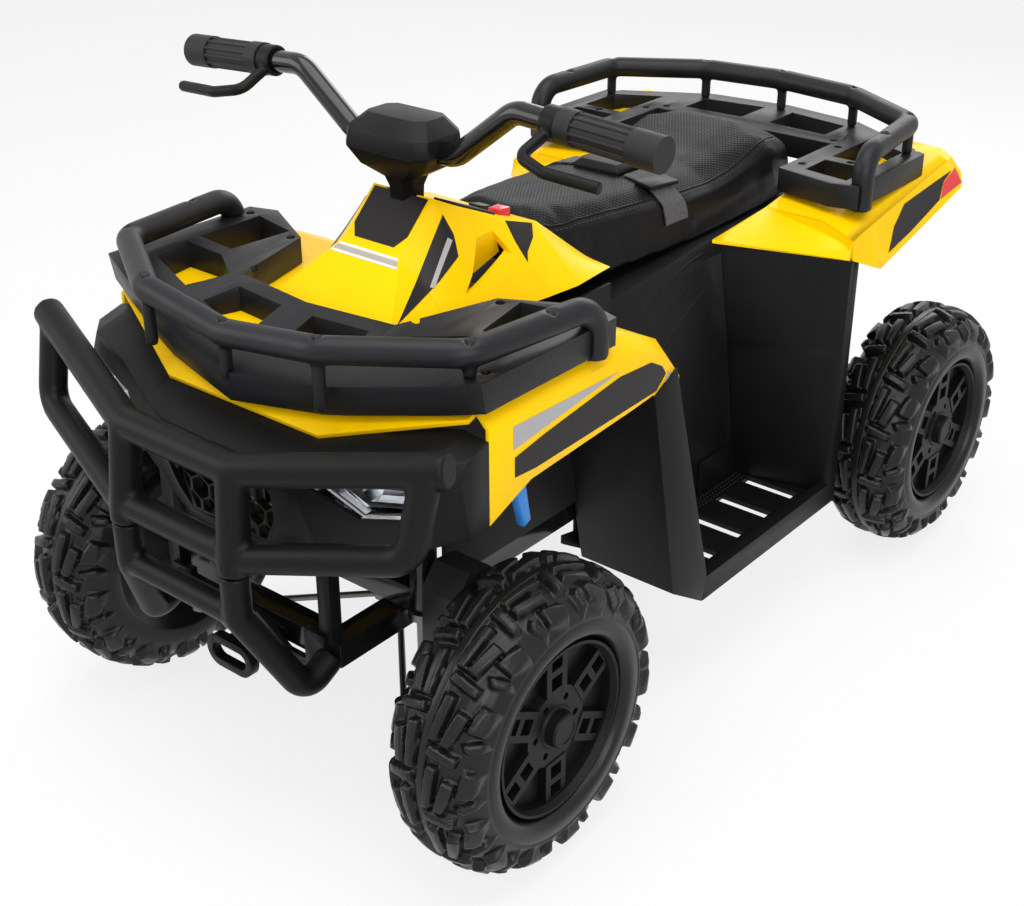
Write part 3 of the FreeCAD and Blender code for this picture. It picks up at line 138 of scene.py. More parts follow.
def moulded(name, colour, rough, vary=0.12, grain=900.0, depth=0.00006, coat=0.0, specular=0.5):
    material, tree, shader = new_material(name)
    coords = object_coords(tree)
    cloud = noise(tree, coords, 9.0, 3.0)
    tint = ramp(tree, cloud, [(0.3, scaled(colour, 1 - vary)), (0.7, scaled(colour, 1 + vary))])
    tree.links.new(tint, shader.inputs["Base Color"])
    smear = noise(tree, coords, 38.0, 4.0)
    tree.links.new(spread(tree, smear, rough - 0.06, rough + 0.07), shader.inputs["Roughness"])
    shader.inputs["Coat Weight"].default_value = coat
    shader.inputs["Coat Roughness"].default_value = 0.08
    shader.inputs["Specular IOR Level"].default_value = specular
    bump(tree, shader, noise(tree, coords, grain), 0.5, depth)
    return material


def metal(name, colour, rough, grain=(40.0, 40.0, 900.0)):
    material, tree, shader = new_material(name)
    mapping = add_node(tree, "ShaderNodeMapping", Scale=grain)
    tree.links.new(object_coords(tree), mapping.inputs["Vector"])
    lines = noise(tree, mapping.outputs["Vector"], 1.0, 3.0)
    tint = ramp(tree, lines, [(0.3, scaled(colour, 0.85)), (0.7, scaled(colour, 1.1))])
    tree.links.new(tint, shader.inputs["Base Color"])
    tree.links.new(spread(tree, lines, rough - 0.08, rough + 0.1), shader.inputs["Roughness"])
    shader.inputs["Metallic"].default_value = 1.0
    bump(tree, shader, lines, 0.3, 0.00003)
    return material


def clear(name):
    material, tree, shader = new_material(name)
    haze = noise(tree, object_coords(tree), 60.0, 3.0)
    tree.links.new(spread(tree, haze, 0.02, 0.07), shader.inputs["Roughness"])
    shader.inputs["Base Color"].default_value = (0.97, 0.98, 1.0, 1.0)
    shader.inputs["Transmission Weight"].default_value = 1.0
    shader.inputs["IOR"].default_value = 1.2
    return material


def woven(name, colour, scale):
    material, tree, shader = new_material(name)
    coords = object_coords(tree)
    across = bands(tree, coords, scale, "X", 0.6)
    along = bands(tree, coords, scale, "Y", 0.6)
    height = product(tree, across, along)
    tint = ramp(tree, height, [(0.1, scaled(colour, 0.6)), (0.8, scaled(colour, 1.5))])
    tree.links.new(tint, shader.inputs["Base Color"])
    shader.inputs["Roughness"].default_value = 0.75
    shader.inputs["Sheen Weight"].default_value = 0.25
    bump(tree, shader, height, 0.6, 0.0004)
    return material


# A wave texture of scale 1 repeats every 0.314 m
WAVE_UNIT = 0.314


def banded(name, dark, light, pitch, turn, rough, depth):
    material, tree, shader = new_material(name)
    coords = turned(tree, object_coords(tree), turn)
    wave = bands(tree, coords, WAVE_UNIT / pitch, "Z")
    tint = ramp(tree, wave, [(0.35, dark), (0.65, light)])
    tree.links.new(tint, shader.inputs["Base Color"])
    smear = noise(tree, coords, 60.0, 3.0)
    tree.links.new(spread(tree, smear, rough - 0.06, rough + 0.06), shader.inputs["Roughness"])
    shader.inputs["Specular IOR Level"].default_value = 0.2
    bump(tree, shader, wave, 0.5, depth)
    return material


def ribbed_vinyl(name, colour, pitch, turn):
    material, tree, shader = new_material(name)
    coords = object_coords(tree)
    first = bands(tree, turned(tree, coords, (0.0, 0.0, turn)), WAVE_UNIT / pitch, "X")
    second = bands(tree, turned(tree, coords, (0.0, 0.0, -turn)), WAVE_UNIT / pitch, "X")
    height = product(tree, first, second)
    tint = ramp(tree, height, [(0.1, scaled(colour, 0.6)), (0.7, scaled(colour, 1.5))])
    tree.links.new(tint, shader.inputs["Base Color"])
    smear = noise(tree, coords, 50.0, 3.0)
    tree.links.new(spread(tree, smear, 0.42, 0.55), shader.inputs["Roughness"])
    shader.inputs["Specular IOR Level"].default_value = 0.12
    bump(tree, shader, height, 0.7, 0.0005)
    return material


YELLOW = (0.98, 0.585, 0.0010)
BLACK = (0.0050, 0.0052, 0.0056)
MATERIALS = {
    "yellow_plastic": moulded("yellow_gloss", YELLOW, 0.30, 0.02, 700.0, 0.00001, 0.03, 0.08),
    "black_plastic": moulded("black_grain", BLACK, 0.42, 0.18, 1100.0, 0.00007, 0.0, 0.14),
    "grey_plastic": moulded("dark_satin", (0.016, 0.0165, 0.018), 0.42, 0.15, 900.0, 0.00004, 0.0, 0.25),
    "red_plastic": moulded("red_gloss", (0.60, 0.012, 0.016), 0.22, 0.05, 700.0, 0.00001, 0.3, 0.3),
    "blue_plastic": moulded("blue_satin", (0.03, 0.22, 0.62), 0.35, 0.08, 900.0, 0.00002, 0.0, 0.3),
    "black_steel": moulded("black_enamel", (0.006, 0.006, 0.0065), 0.16, 0.2, 500.0, 0.00001, 0.25, 0.3),
    "bare_steel": metal("zinc_steel", (0.16, 0.16, 0.165), 0.36),
    "tyre_plastic": moulded("tyre_black", (0.0065, 0.0065, 0.0072), 0.30, 0.2, 800.0, 0.00006, 0.0, 0.26),
    "grip_rubber": moulded("grip_rubber", (0.014, 0.014, 0.015), 0.55, 0.15, 1300.0, 0.00008, 0.0, 0.25),
    "seat_vinyl": moulded("seat_vinyl", (0.0042, 0.0042, 0.0047), 0.38, 0.12, 1600.0, 0.0001, 0.0, 0.12),
    "webbing": woven("belt_webbing", (0.010, 0.010, 0.011), 1.0 / 0.0007),
    "clear_lens": clear("lens_clear"),
    "silver_bowl": metal("lamp_silver", (0.86, 0.87, 0.89), 0.12, (60.0, 60.0, 60.0)),
}
RACK_BLACK = moulded("rack_black", (0.009, 0.0094, 0.0105), 0.42, 0.12, 900.0, 0.00009, 0.0, 0.24)
CARBON_DARK = (0.006, 0.0055, 0.0052)
CARBON_LIGHT = (0.018, 0.016, 0.015)
CARBON = banded("carbon_film", CARBON_DARK, CARBON_LIGHT, 0.0024, (0.7, 0.0, 0.5), 0.34, 0.00002)
SILVER = moulded("silver_film", (0.36, 0.355, 0.36), 0.38, 0.04, 900.0, 0.00001)
WHITE = moulded("white_film", (0.80, 0.80, 0.80), 0.40, 0.02, 900.0, 0.00001)
RED_FILM = moulded("red_film", (0.66, 0.022, 0.030), 0.30, 0.05, 500.0, 0.00003)
SEAT_RIBS = ribbed_vinyl("seat_ribbed", (0.0045, 0.0046, 0.005), 0.0034, 0.6)
STITCH = moulded("stitch_thread", (0.012, 0.012, 0.013), 0.6, 0.1, 2000.0, 0.0001)


# Mesh helpers
def to_object(bm, name, material, sharp=32.0):
    mesh = bpy.data.meshes.new(name)
    bm.to_mesh(mesh)
    bm.free()
    for face in mesh.polygons:
        face.use_smooth = True
    mesh.set_sharp_from_angle(angle=math.radians(sharp))
    mesh.materials.append(material)
    obj = bpy.data.objects.new(name, mesh)
    bpy.context.scene.collection.objects.link(obj)
    return obj


SHOWN = dict(NODES)


def stand_for(obj, node):
    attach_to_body(obj, BODY_OF[node])
    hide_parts(node)
    SHOWN[node] = obj


def attach(obj, node):
    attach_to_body(obj, BODY_OF[node])


def settled(obj):
    graph = bpy.context.evaluated_depsgraph_get()
    mesh = bpy.data.meshes.new_from_object(obj.evaluated_get(graph))
    obj.modifiers.clear()
    obj.data = mesh


DRILL_SIDES = 20


# A copy of a solid's mesh, with blind holes drilled into it from above
def drilled_copy(node, holes, name):
    piece = bpy.data.objects.new(name, NODES[node].data.copy())
    bpy.context.scene.collection.objects.link(piece)
    if holes:
        bm = bmesh.new()
        for place, radius, depth in holes:
            bmesh.ops.create_cone(bm, cap_ends=True, segments=DRILL_SIDES, radius1=radius * MM,
                                  radius2=radius * MM, depth=depth * MM,
                                  matrix=Matrix.Translation(at(*place)))
        drills = to_object(bm, node + "_drills", MATERIALS["black_plastic"])
        cut = piece.modifiers.new("holes", "BOOLEAN")
        cut.object = drills
        cut.operation = "DIFFERENCE"
        settled(piece)
        bpy.data.objects.remove(drills)
    return piece


# Moulded pieces: edges that turn by more than EDGE_ANGLE degrees are rounded
EDGE_ANGLE = 28.0
EDGE_SEGMENTS = 2
SHADE_ANGLE = 34.0
FLAT_ANGLE = 0.6
WELD_REACH = 2e-5


def soften(node, width, holes=(), material=None):
    piece = drilled_copy(node, holes, node + "_blank")
    bm = bmesh.new()
    bm.from_mesh(piece.data)
    bpy.data.objects.remove(piece)
    bmesh.ops.remove_doubles(bm, verts=bm.verts, dist=WELD_REACH)
    bmesh.ops.dissolve_limit(bm, angle_limit=math.radians(FLAT_ANGLE), verts=bm.verts, edges=bm.edges)
    limit = math.radians(EDGE_ANGLE)
    edges = [e for e in bm.edges if len(e.link_faces) == 2 and e.calc_face_angle(0.0) > limit]
    bmesh.ops.bevel(bm, geom=edges, offset=width * MM, offset_type="OFFSET", segments=EDGE_SEGMENTS,
                    profile=0.5, affect="EDGES", clamp_overlap=True)
    skin = material or MATERIALS[SLOT_OF[node]]
    stand_for(to_object(bm, node + "_moulded", skin, SHADE_ANGLE), node)


# Blow-moulded pieces: the solid is melted into one skin, so that its joints get small fillets
def melt(node, voxel, rounds, holes=(), material=None):
    piece = drilled_copy(node, holes, node + "_skin")
    remesh = piece.modifiers.new("skin", "REMESH")
    remesh.mode = "VOXEL"
    remesh.voxel_size = voxel * MM
    smooth = piece.modifiers.new("smooth", "SMOOTH")
    smooth.factor = 0.5
    smooth.iterations = rounds
    settled(piece)
    for face in piece.data.polygons:
        face.use_smooth = True
    piece.data.materials.clear()
    piece.data.materials.append(material or MATERIALS[SLOT_OF[node]])
    stand_for(piece, node)


def both_sides(places):
    return [(side * x, y, z) for x, y, z in places for side in ((1, -1) if x else (1,))]


def drilled(places, radius, depth):
    return [(place, radius, depth) for place in both_sides(places)]


FRONT_RAIL_SCREWS = [(217, -410, 516), (109, -476, 512), (0, -482, 500), (230, -320, 516)]
REAR_RAIL_SCREWS = [(211, 372, 532), (106, 435, 533), (0, 446, 534), (220, 290, 530)]
FRONT_TRAY_SCREWS = [(104, -352, 486), (136, -274, 486), (224, -398, 487), (222, -250, 486)]
REAR_TRAY_SCREWS = [(137, 262, 486), (137, 345, 486), (178, 300, 486), (120, 366, 486), (216, 392, 486)]
melt("bumper_upper", 2.2, 8)
melt("bumper_lower", 2.2, 8)
melt("lever_left", 1.2, 6)
melt("lever_right", 1.2, 6)
melt("front_rack_rail", 2.0, 6, drilled(FRONT_RAIL_SCREWS, 4.2, 9.0), RACK_BLACK)
melt("rear_rack_rail", 2.0, 6, drilled(REAR_RAIL_SCREWS, 4.2, 9.0), RACK_BLACK)
soften("front_rack_tray", 1.8, drilled(FRONT_TRAY_SCREWS, 4.6, 12.0), RACK_BLACK)
soften("rear_rack_tray", 1.8, drilled(REAR_TRAY_SCREWS, 4.6, 12.0), RACK_BLACK)

SOFT_EDGES = {
    "front_hood": 3.0, "tank_cover": 3.0, "rear_fender": 3.0, "front_fascia": 2.5,
    "footwell_left": 2.0, "footwell_right": 2.0,
    "centre_body": 3.0, "skid_plate": 1.5, "bar_cover_upper": 3.0, "bar_cover_lower": 2.0,
    "accelerator_pedal": 1.2, "dash_panel": 0.8, "belt_buckle": 1.5, "belt_adjuster": 1.0,
    "start_button": 1.2, "direction_switch": 1.0, "lamp_connector": 1.2, "main_frame": 1.5,
    "grille_mesh": 0.8, "knuckle_left": 2.0, "knuckle_right": 2.0,
}
for node, width in SOFT_EDGES.items():
    soften(node, width)

for node, obj in NODES.items():
    obj.data.materials.clear()
    obj.data.materials.append(MATERIALS[SLOT_OF[node]])


# Tyres: one height field over the tread, swept round the axle
TYRE_R, TYRE_HALF, LUG_COUNT = 150.0, 49.5, 14
WHEEL_X, WHEEL_Y = 254.0, 383.0
# Profiles as x from the wheel's middle and radius
TREAD = [
    (0.0, 141.0), (14.0, 140.2), (26.0, 137.2), (36.0, 131.5), (43.0, 123.5), (47.5, 114.5),
    (49.5, 109.5),
]
SIDE = [
    (48.6, 108.6), (49.5, 107.6), (49.5, 97.5), (48.6, 94.0), (45.5, 91.0), (38.0, 88.0),
    (15.5, 86.2), (15.5, 7.0),
]
INNER = [(-27.5, 7.0), (-27.5, 64.0), (-30.0, 68.0), (-47.0, 94.0), (-49.5, 97.0)]
SEAM_HALF, SEAM_H = 4.5, 3.2
STEPS_PER_LUG = 46
TREAD_ROWS = 84


def tread_radius(x):
    x = abs(x)
    for (x0, r0), (x1, r1) in zip(TREAD, TREAD[1:]):
        if x <= x1:
            part = (x - x0) / (x1 - x0)
            return r0 + (r1 - r0) * part
    return TREAD[-1][1]


def smooth_step(low, high, value):
    part = min(1.0, max(0.0, (value - low) / (high - low)))
    return part * part * (3 - 2 * part)


# Distance outside a straight bar from a to b, negative inside it
def outside_bar(px, py, ax, ay, bx, by, half):
    length = math.hypot(bx - ax, by - ay)
    ux, uy = (bx - ax) / length, (by - ay) / length
    along = (px - ax) * ux + (py - ay) * uy
    across = (py - ay) * ux - (px - ax) * uy
    return max(abs(along - length / 2) - length / 2, abs(across) - half)


# Lugs of one pitch: x and share of the pitch at both ends, half width, share of the lug height
PITCH_R = 145.0
PITCH = 2 * math.pi * PITCH_R / LUG_COUNT
LUG_H = 8.6
LUG_BARS = [
    (9.0, 0.10, 13.0, 0.74, 4.2, 1.0), (20.0, 0.08, 27.5, 0.56, 4.8, 1.0),
    (6.5, -0.03, 31.0, -0.12, 4.6, 1.0), (37.5, 0.34, 42.5, 0.74, 5.6, 0.9),
    (34.5, 0.10, 46.0, 0.20, 4.2, 0.8),
]
# The two halves of the tread are half a pitch apart
LEFT_PHASE, RIGHT_PHASE = 0.25, 0.75
# Widths over which a lug rises at its edge, ends at the seam and fades at the shoulder
LUG_EDGE = (1.7, -1.3)
LUG_AT_SEAM = (4.6, 6.0)
LUG_AT_SHOULDER = (45.5, 48.5)


def lug_height(x, along):
    local = along - (LEFT_PHASE if x >= 0 else RIGHT_PHASE) * PITCH
    local -= PITCH * math.floor(local / PITCH)
    best = 0.0
    for shift in (0.0, PITCH):
        for x0, t0, x1, t1, half, share in LUG_BARS:
            gap = outside_bar(abs(x), local - shift, x0, t0 * PITCH, x1, t1 * PITCH, half)
            best = max(best, smooth_step(*LUG_EDGE, gap) * share)
    fade = 1.0 - smooth_step(*LUG_AT_SHOULDER, abs(x))
    seam = smooth_step(SEAM_HALF + 1.0, SEAM_HALF - 1.0, abs(x)) * SEAM_H
    return max(best * LUG_H * fade * smooth_step(*LUG_AT_SEAM, abs(x)), seam)


# Rows from the inner bore over the tread to the outer bore: x, radius, and whether it is tread
def tyre_rows():
    rows = [(x, r, False) for x, r in INNER]
    for i in range(TREAD_ROWS + 1):
        x = -TYRE_HALF + 2 * TYRE_HALF * i / TREAD_ROWS
        rows.append((x, tread_radius(x), True))
    rows += [(x, r, False) for x, r in SIDE]
    return rows


def make_tyre_mesh(side):
    around = LUG_COUNT * STEPS_PER_LUG
    bm = bmesh.new()
    rings = []
    for x, r, tread in tyre_rows():
        ring = []
        slope = (tread_radius(abs(x) - 0.5) - tread_radius(abs(x) + 0.5)) if tread else 0.0
        tilt = math.atan(max(0.0, slope)) * (1 if x >= 0 else -1)
        for k in range(around):
            angle = 2 * math.pi * k / around
            raise_by = lug_height(x, angle * PITCH_R) if tread else 0.0
            px = x + raise_by * math.sin(tilt)
            px = max(-TYRE_HALF, min(TYRE_HALF, px))
            pr = r + raise_by * math.cos(tilt)
            place = (side * px * MM, pr * math.sin(angle) * MM, pr * math.cos(angle) * MM)
            ring.append(bm.verts.new(place))
        rings.append(ring)
    for low, high in zip(rings, rings[1:] + rings[:1]):
        for k in range(around):
            after = (k + 1) % around
            quad = (low[k], high[k], high[after], low[after])
            bm.faces.new(quad if side < 0 else tuple(reversed(quad)))
    return bm


for side_name, side in (("left", 1), ("right", -1)):
    blank = make_tyre_mesh(side)
    for end, y in (("front", -WHEEL_Y), ("rear", WHEEL_Y)):
        node = "tyre_%s_%s" % (end, side_name)
        bm = blank.copy()
        bmesh.ops.translate(bm, verts=bm.verts, vec=at(side * WHEEL_X, y, TYRE_R))
        stand_for(to_object(bm, node + "_tread", MATERIALS["tyre_plastic"], 100.0), node)


# Seat: a padded cushion grown by cloth pressure from the solid, with a ribbed top panel and seams
SEAT_VOXEL = 4.5
SEAT_SHRINK = 2.5
SEAT_CAP = 6.0
SEAT_FLOOR = 436.0
SEAT_PRESSURE = 4.0
SEAT_FRAMES = 20
# Half width of the top panel along y
SEAT_EDGE = [
    (-136.0, 51.0), (-80.0, 64.0), (20.0, 74.0), (104.0, 80.0), (192.0, 82.0), (270.0, 80.0),
    (316.0, 70.0),
]
PANEL_FRONT, PANEL_BACK = -130.0, 312.0


def between(stops, value):
    for (v0, w0), (v1, w1) in zip(stops, stops[1:]):
        if value <= v1:
            return w0 + (w1 - w0) * max(0.0, value - v0) / (v1 - v0)
    return stops[-1][1]


def swell(piece):
    start = [v.co.copy() for v in piece.data.vertices]
    cloth = piece.modifiers.new("padding", "CLOTH")
    cloth.settings.use_pressure = True
    cloth.settings.uniform_pressure_force = SEAT_PRESSURE
    cloth.settings.vertex_group_mass = "held"
    cloth.settings.effector_weights.gravity = 0.0
    cloth.point_cache.frame_start = 1
    cloth.point_cache.frame_end = SEAT_FRAMES
    for frame_number in range(1, SEAT_FRAMES + 1):
        bpy.context.scene.frame_set(frame_number)
    settled(piece)
    bpy.context.scene.frame_set(1)
    for vertex, before in zip(piece.data.vertices, start):
        moved = vertex.co - before
        if moved.length > SEAT_CAP * MM:
            vertex.co = before + moved.normalized() * SEAT_CAP * MM


def make_seat():
    piece = bpy.data.objects.new("seat_cushion", NODES["seat"].data.copy())
    bpy.context.scene.collection.objects.link(piece)
    remesh = piece.modifiers.new("skin", "REMESH")
    remesh.mode = "VOXEL"
    remesh.voxel_size = SEAT_VOXEL * MM
    settled(piece)
    held = piece.vertex_groups.new(name="held")
    for vertex in piece.data.vertices:
        low = vertex.co.z < SEAT_FLOOR * MM
        if low:
            held.add([vertex.index], 1.0, "REPLACE")
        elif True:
            vertex.co -= vertex.normal * SEAT_SHRINK * MM
    swell(piece)
    smooth = piece.modifiers.new("smooth", "SMOOTH")
    smooth.iterations = 4
    finer = piece.modifiers.new("finer", "SUBSURF")
    finer.levels = 1
    finer.render_levels = 1
    settled(piece)
    piece.data.materials.clear()
    piece.data.materials.append(MATERIALS["seat_vinyl"])
    piece.data.materials.append(SEAT_RIBS)
    for face in piece.data.polygons:
        face.use_smooth = True
        x, y = face.center.x / MM, face.center.y / MM - SHIFT_Y
        in_panel = abs(x) < between(SEAT_EDGE, y) and PANEL_FRONT < y < PANEL_BACK
        face.material_index = 1 if in_panel and face.normal.z > 0.5 else 0
    stand_for(piece, "seat")
    return piece


def surface_of(piece):
    bm = bmesh.new()
    bm.from_mesh(piece.data)
    tree = BVHTree.FromBMesh(bm)
    bm.free()
    return tree


# A round cord along a path, capped at both ends
def swept(bm, path, radius, sides=8):
    rings = []
    for i, point in enumerate(path):
        before = path[max(i - 1, 0)]
        after = path[min(i + 1, len(path) - 1)]
        along = (after - before).normalized()
        turn = Vector((0, 0, 1)).rotation_difference(along).to_matrix()
        ring = []
        for k in range(sides):
            angle = 2 * math.pi * k / sides
            spoke = Vector((math.cos(angle), math.sin(angle), 0))
            ring.append(bm.verts.new(point + turn @ spoke * radius * MM))
        rings.append(ring)
    for low, high in zip(rings, rings[1:]):
        for k in range(sides):
            bm.faces.new((low[k], low[(k + 1) % sides], high[(k + 1) % sides], high[k]))
    bm.faces.new(tuple(reversed(rings[0])))
    bm.faces.new(tuple(rings[-1]))


SEAM_FRONT, SEAM_BACK, SEAM_STEP = -128.0, 310.0, 6.0
PIPING_R = 1.3
PIPING_SINK = -0.2
STITCH_R, STITCH_LENGTH, STITCH_LIFT = 0.55, 4.2, 0.15
STITCH_OUT = 4.0
ABOVE_SEAT = 620.0
BACK_HALF, BACK_STEP = 70, 7
# The nose cords run down and back from the panel's front corners
NOSE_TOP, NOSE_RUN = (66.0, -134.0, 507.0), (26.0, 66.0, -78.0)
NOSE_STEPS = 12
NOSE_R, NOSE_LIFT = 1.4, 0.2


def dropped_on(tree, x, y, lift):
    hit, normal, _, _ = tree.ray_cast(at(x, y, ABOVE_SEAT), Vector((0, 0, -1)))
    return hit + normal * lift * MM if hit else None


def make_seat_seams(piece):
    tree = surface_of(piece)
    cords = bmesh.new()
    thread = bmesh.new()
    half = Vector((0, STITCH_LENGTH * MM / 2, 0))
    for side in (1, -1):
        path = []
        y = SEAM_FRONT
        while y < SEAM_BACK:
            edge = between(SEAT_EDGE, y)
            point = dropped_on(tree, side * edge, y, PIPING_SINK)
            if point:
                path.append(point)
            stitch = dropped_on(tree, side * (edge + STITCH_OUT), y, STITCH_LIFT)
            if stitch:
                run = [stitch - half, stitch - half * 0.6, stitch + half * 0.6, stitch + half]
                swept(thread, run, STITCH_R, 6)
            y += SEAM_STEP
        swept(cords, path, PIPING_R)
    across = range(-BACK_HALF, BACK_HALF + 1, BACK_STEP)
    back = [dropped_on(tree, x, PANEL_BACK, PIPING_SINK) for x in across]
    swept(cords, [point for point in back if point], PIPING_R)
    nose = []
    for i in range(NOSE_STEPS + 1):
        place = [start + run * i / NOSE_STEPS for start, run in zip(NOSE_TOP, NOSE_RUN)]
        near, normal, _, _ = tree.find_nearest(at(*place))
        nose.append(near + normal * NOSE_LIFT * MM)
    for side in (1, -1):
        swept(cords, [Vector((side * p.x, p.y, p.z)) for p in nose], NOSE_R)
    attach(to_object(cords, "seat_piping", MATERIALS["seat_vinyl"], 60.0), "seat")
    attach(to_object(thread, "seat_stitching", STITCH, 60.0), "seat")


SEAT = make_seat()
make_seat_seams(SEAT)


# Lap belt webbing, laid over the cushion from each side to the buckle
STRAP_FRONT, STRAP_REAR, STRAP_THICK = 56.5, 93.5, 1.7
STRAP_STOP = 31.0
STRAP_ROWS, STRAP_COLUMNS = 40, 9
# Rays towards a line inside the seat, from this angle above the level and over this sweep
STRAP_ANGLE, STRAP_SWEEP = 8.0, 81.0
STRAP_CENTRE_Z = 445.0
STRAP_RAY = 300.0


def make_straps(piece):
    tree = surface_of(piece)
    bm = bmesh.new()
    spans = STRAP_COLUMNS - 1
    for side in (1, -1):
        rows = []
        for i in range(STRAP_ROWS):
            angle = math.radians(STRAP_ANGLE + STRAP_SWEEP * i / (STRAP_ROWS - 1))
            inward = Vector((-side * math.cos(angle), 0, -math.sin(angle)))
            slack = 0.6 + 0.5 * math.sin(i * 0.7) ** 2
            row = []
            for k in range(STRAP_COLUMNS):
                y = STRAP_FRONT + (STRAP_REAR - STRAP_FRONT) * k / spans
                start = at(0, y, STRAP_CENTRE_Z) - inward * STRAP_RAY * MM
                hit, normal, _, _ = tree.ray_cast(start, inward)
                point = hit + normal * slack * MM
                if abs(point.x) >= STRAP_STOP * MM:
                    row.append((point, normal))
            if len(row) == STRAP_COLUMNS:
                rows.append(row)
        lower = [[bm.verts.new(p) for p, n in row] for row in rows]
        upper = [[bm.verts.new(p + n * STRAP_THICK * MM) for p, n in row] for row in rows]
        last = len(rows) - 1
        for a, b in zip(range(last), range(1, last + 1)):
            for k in range(spans):
                bm.faces.new((upper[a][k], upper[b][k], upper[b][k + 1], upper[a][k + 1]))
                bm.faces.new((lower[a][k + 1], lower[b][k + 1], lower[b][k], lower[a][k]))
            for k in (0, spans):
                bm.faces.new((lower[a][k], lower[b][k], upper[b][k], upper[a][k]))
        for row in (0, last):
            for k in range(spans):
                bm.faces.new((lower[row][k], lower[row][k + 1], upper[row][k + 1], upper[row][k]))
    bmesh.ops.recalc_face_normals(bm, faces=bm.faces)
    stand_for(to_object(bm, "belt_webbing", MATERIALS["webbing"], 50.0), "belt_straps")


make_straps(SEAT)


# Footwell floors: rows of small studs beside the slots
FLOOR_TOP = 116.0
STUD_COLUMNS = (127.0, 132.5, 138.0, 213.0, 218.5, 224.0)
STUD_ROWS = 38
STUD_PITCH = 6.0
STUD_START = -40.0
STUD_FOOT_R, STUD_TOP_R, STUD_HEIGHT = 2.1, 1.3, 1.6
STUD_MIDDLE = 0.6


def make_studs(node, side):
    bm = bmesh.new()
    for x in STUD_COLUMNS:
        for i in range(STUD_ROWS):
            place = at(side * x, STUD_START + STUD_PITCH * i, FLOOR_TOP + STUD_MIDDLE)
            bmesh.ops.create_cone(bm, cap_ends=True, segments=8, radius1=STUD_FOOT_R * MM,
                                  radius2=STUD_TOP_R * MM, depth=STUD_HEIGHT * MM,
                                  matrix=Matrix.Translation(place))
    attach(to_object(bm, node + "_studs", MATERIALS["black_plastic"], 50.0), node)


make_studs("footwell_left", 1)
make_studs("footwell_right", -1)


# Footwell floors: an upstand at the inner rear corner, against the centre body
UPSTAND_X, UPSTAND_Y, UPSTAND_Z = 122.6, 152.0, 137.0
UPSTAND_SIZE = (1.8, 96.0, 46.0)


def make_upstand(node, side):
    bm = bmesh.new()
    place = Matrix.Translation(at(side * UPSTAND_X, UPSTAND_Y, UPSTAND_Z))
    size = Matrix.Diagonal([length * MM for length in UPSTAND_SIZE] + [1.0])
    bmesh.ops.create_cube(bm, size=1.0, matrix=place @ size)
    attach(to_object(bm, node + "_upstand", MATERIALS["black_plastic"]), node)


make_upstand("footwell_left", 1)
make_upstand("footwell_right", -1)


# Centre body: raised curved lines on both flanks, as y and z of start, bend and end
FLANK_LINES = [
    ((-62, 352), (-30, 408), (92, 421)),
    ((-52, 318), (-8, 380), (96, 402)),
    ((-30, 290), (20, 346), (98, 380)),
]
FLANK_STEPS = 24
FLANK_LINE_R, FLANK_SINK = 1.5, 0.4
BESIDE_BODY, FLANK_REACH = 200.0, 120.0


def make_flank_lines(label, side):
    tree = surface_of(SHOWN["centre_body"])
    bm = bmesh.new()
    for line in FLANK_LINES:
        path = []
        for i in range(FLANK_STEPS + 1):
            t = i / FLANK_STEPS
            y, z = [(1 - t) ** 2 * a + 2 * t * (1 - t) * b + t * t * c for a, b, c in zip(*line)]
            start = at(side * BESIDE_BODY, y, z)
            hit, normal, _, _ = tree.ray_cast(start, Vector((-side, 0, 0)), FLANK_REACH * MM)
            if hit:
                path.append(hit - normal * FLANK_SINK * MM)
        if len(path) > 2:
            swept(bm, path, FLANK_LINE_R)
    attach(to_object(bm, "flank_lines_" + label, MATERIALS["black_plastic"], 60.0), "centre_body")


make_flank_lines("left", 1)
make_flank_lines("right", -1)


# Rear fender: the step between its front lip and its deck, seen from the front as x and z
FENDER_STEP = [
    (134, 446.5), (199, 446.5), (237, 431.5), (238, 414), (230, 423), (214, 430), (198, 434.5),
    (166, 440.5), (134, 445),
]
STEP_FRONT, STEP_BACK = 200.6, 202.6


def make_step(label, side):
    bm = bmesh.new()
    near = [bm.verts.new(at(side * x, STEP_FRONT, z)) for x, z in FENDER_STEP]
    far = [bm.verts.new(at(side * x, STEP_BACK, z)) for x, z in FENDER_STEP]
    bm.faces.new(near)
    bm.faces.new(far)
    for i in range(len(near)):
        after = (i + 1) % len(near)
        bm.faces.new((near[i], near[after], far[after], far[i]))
    bmesh.ops.recalc_face_normals(bm, faces=bm.faces)
    attach(to_object(bm, "fender_step_" + label, MATERIALS["yellow_plastic"]), "rear_fender")


make_step("left", 1)
make_step("right", -1)


# Films: thin plain bands that lie on the shells
FILM_LIFT = 0.25
FILM_THICK = 0.3
FILM_STEP = 5.0
FILM_REACH = 30.0
BODY_MIDDLE_Z = 430.0
SURFACES = {node: surface_of(SHOWN[node]) for node in ("front_hood", "tank_cover", "rear_fender")}


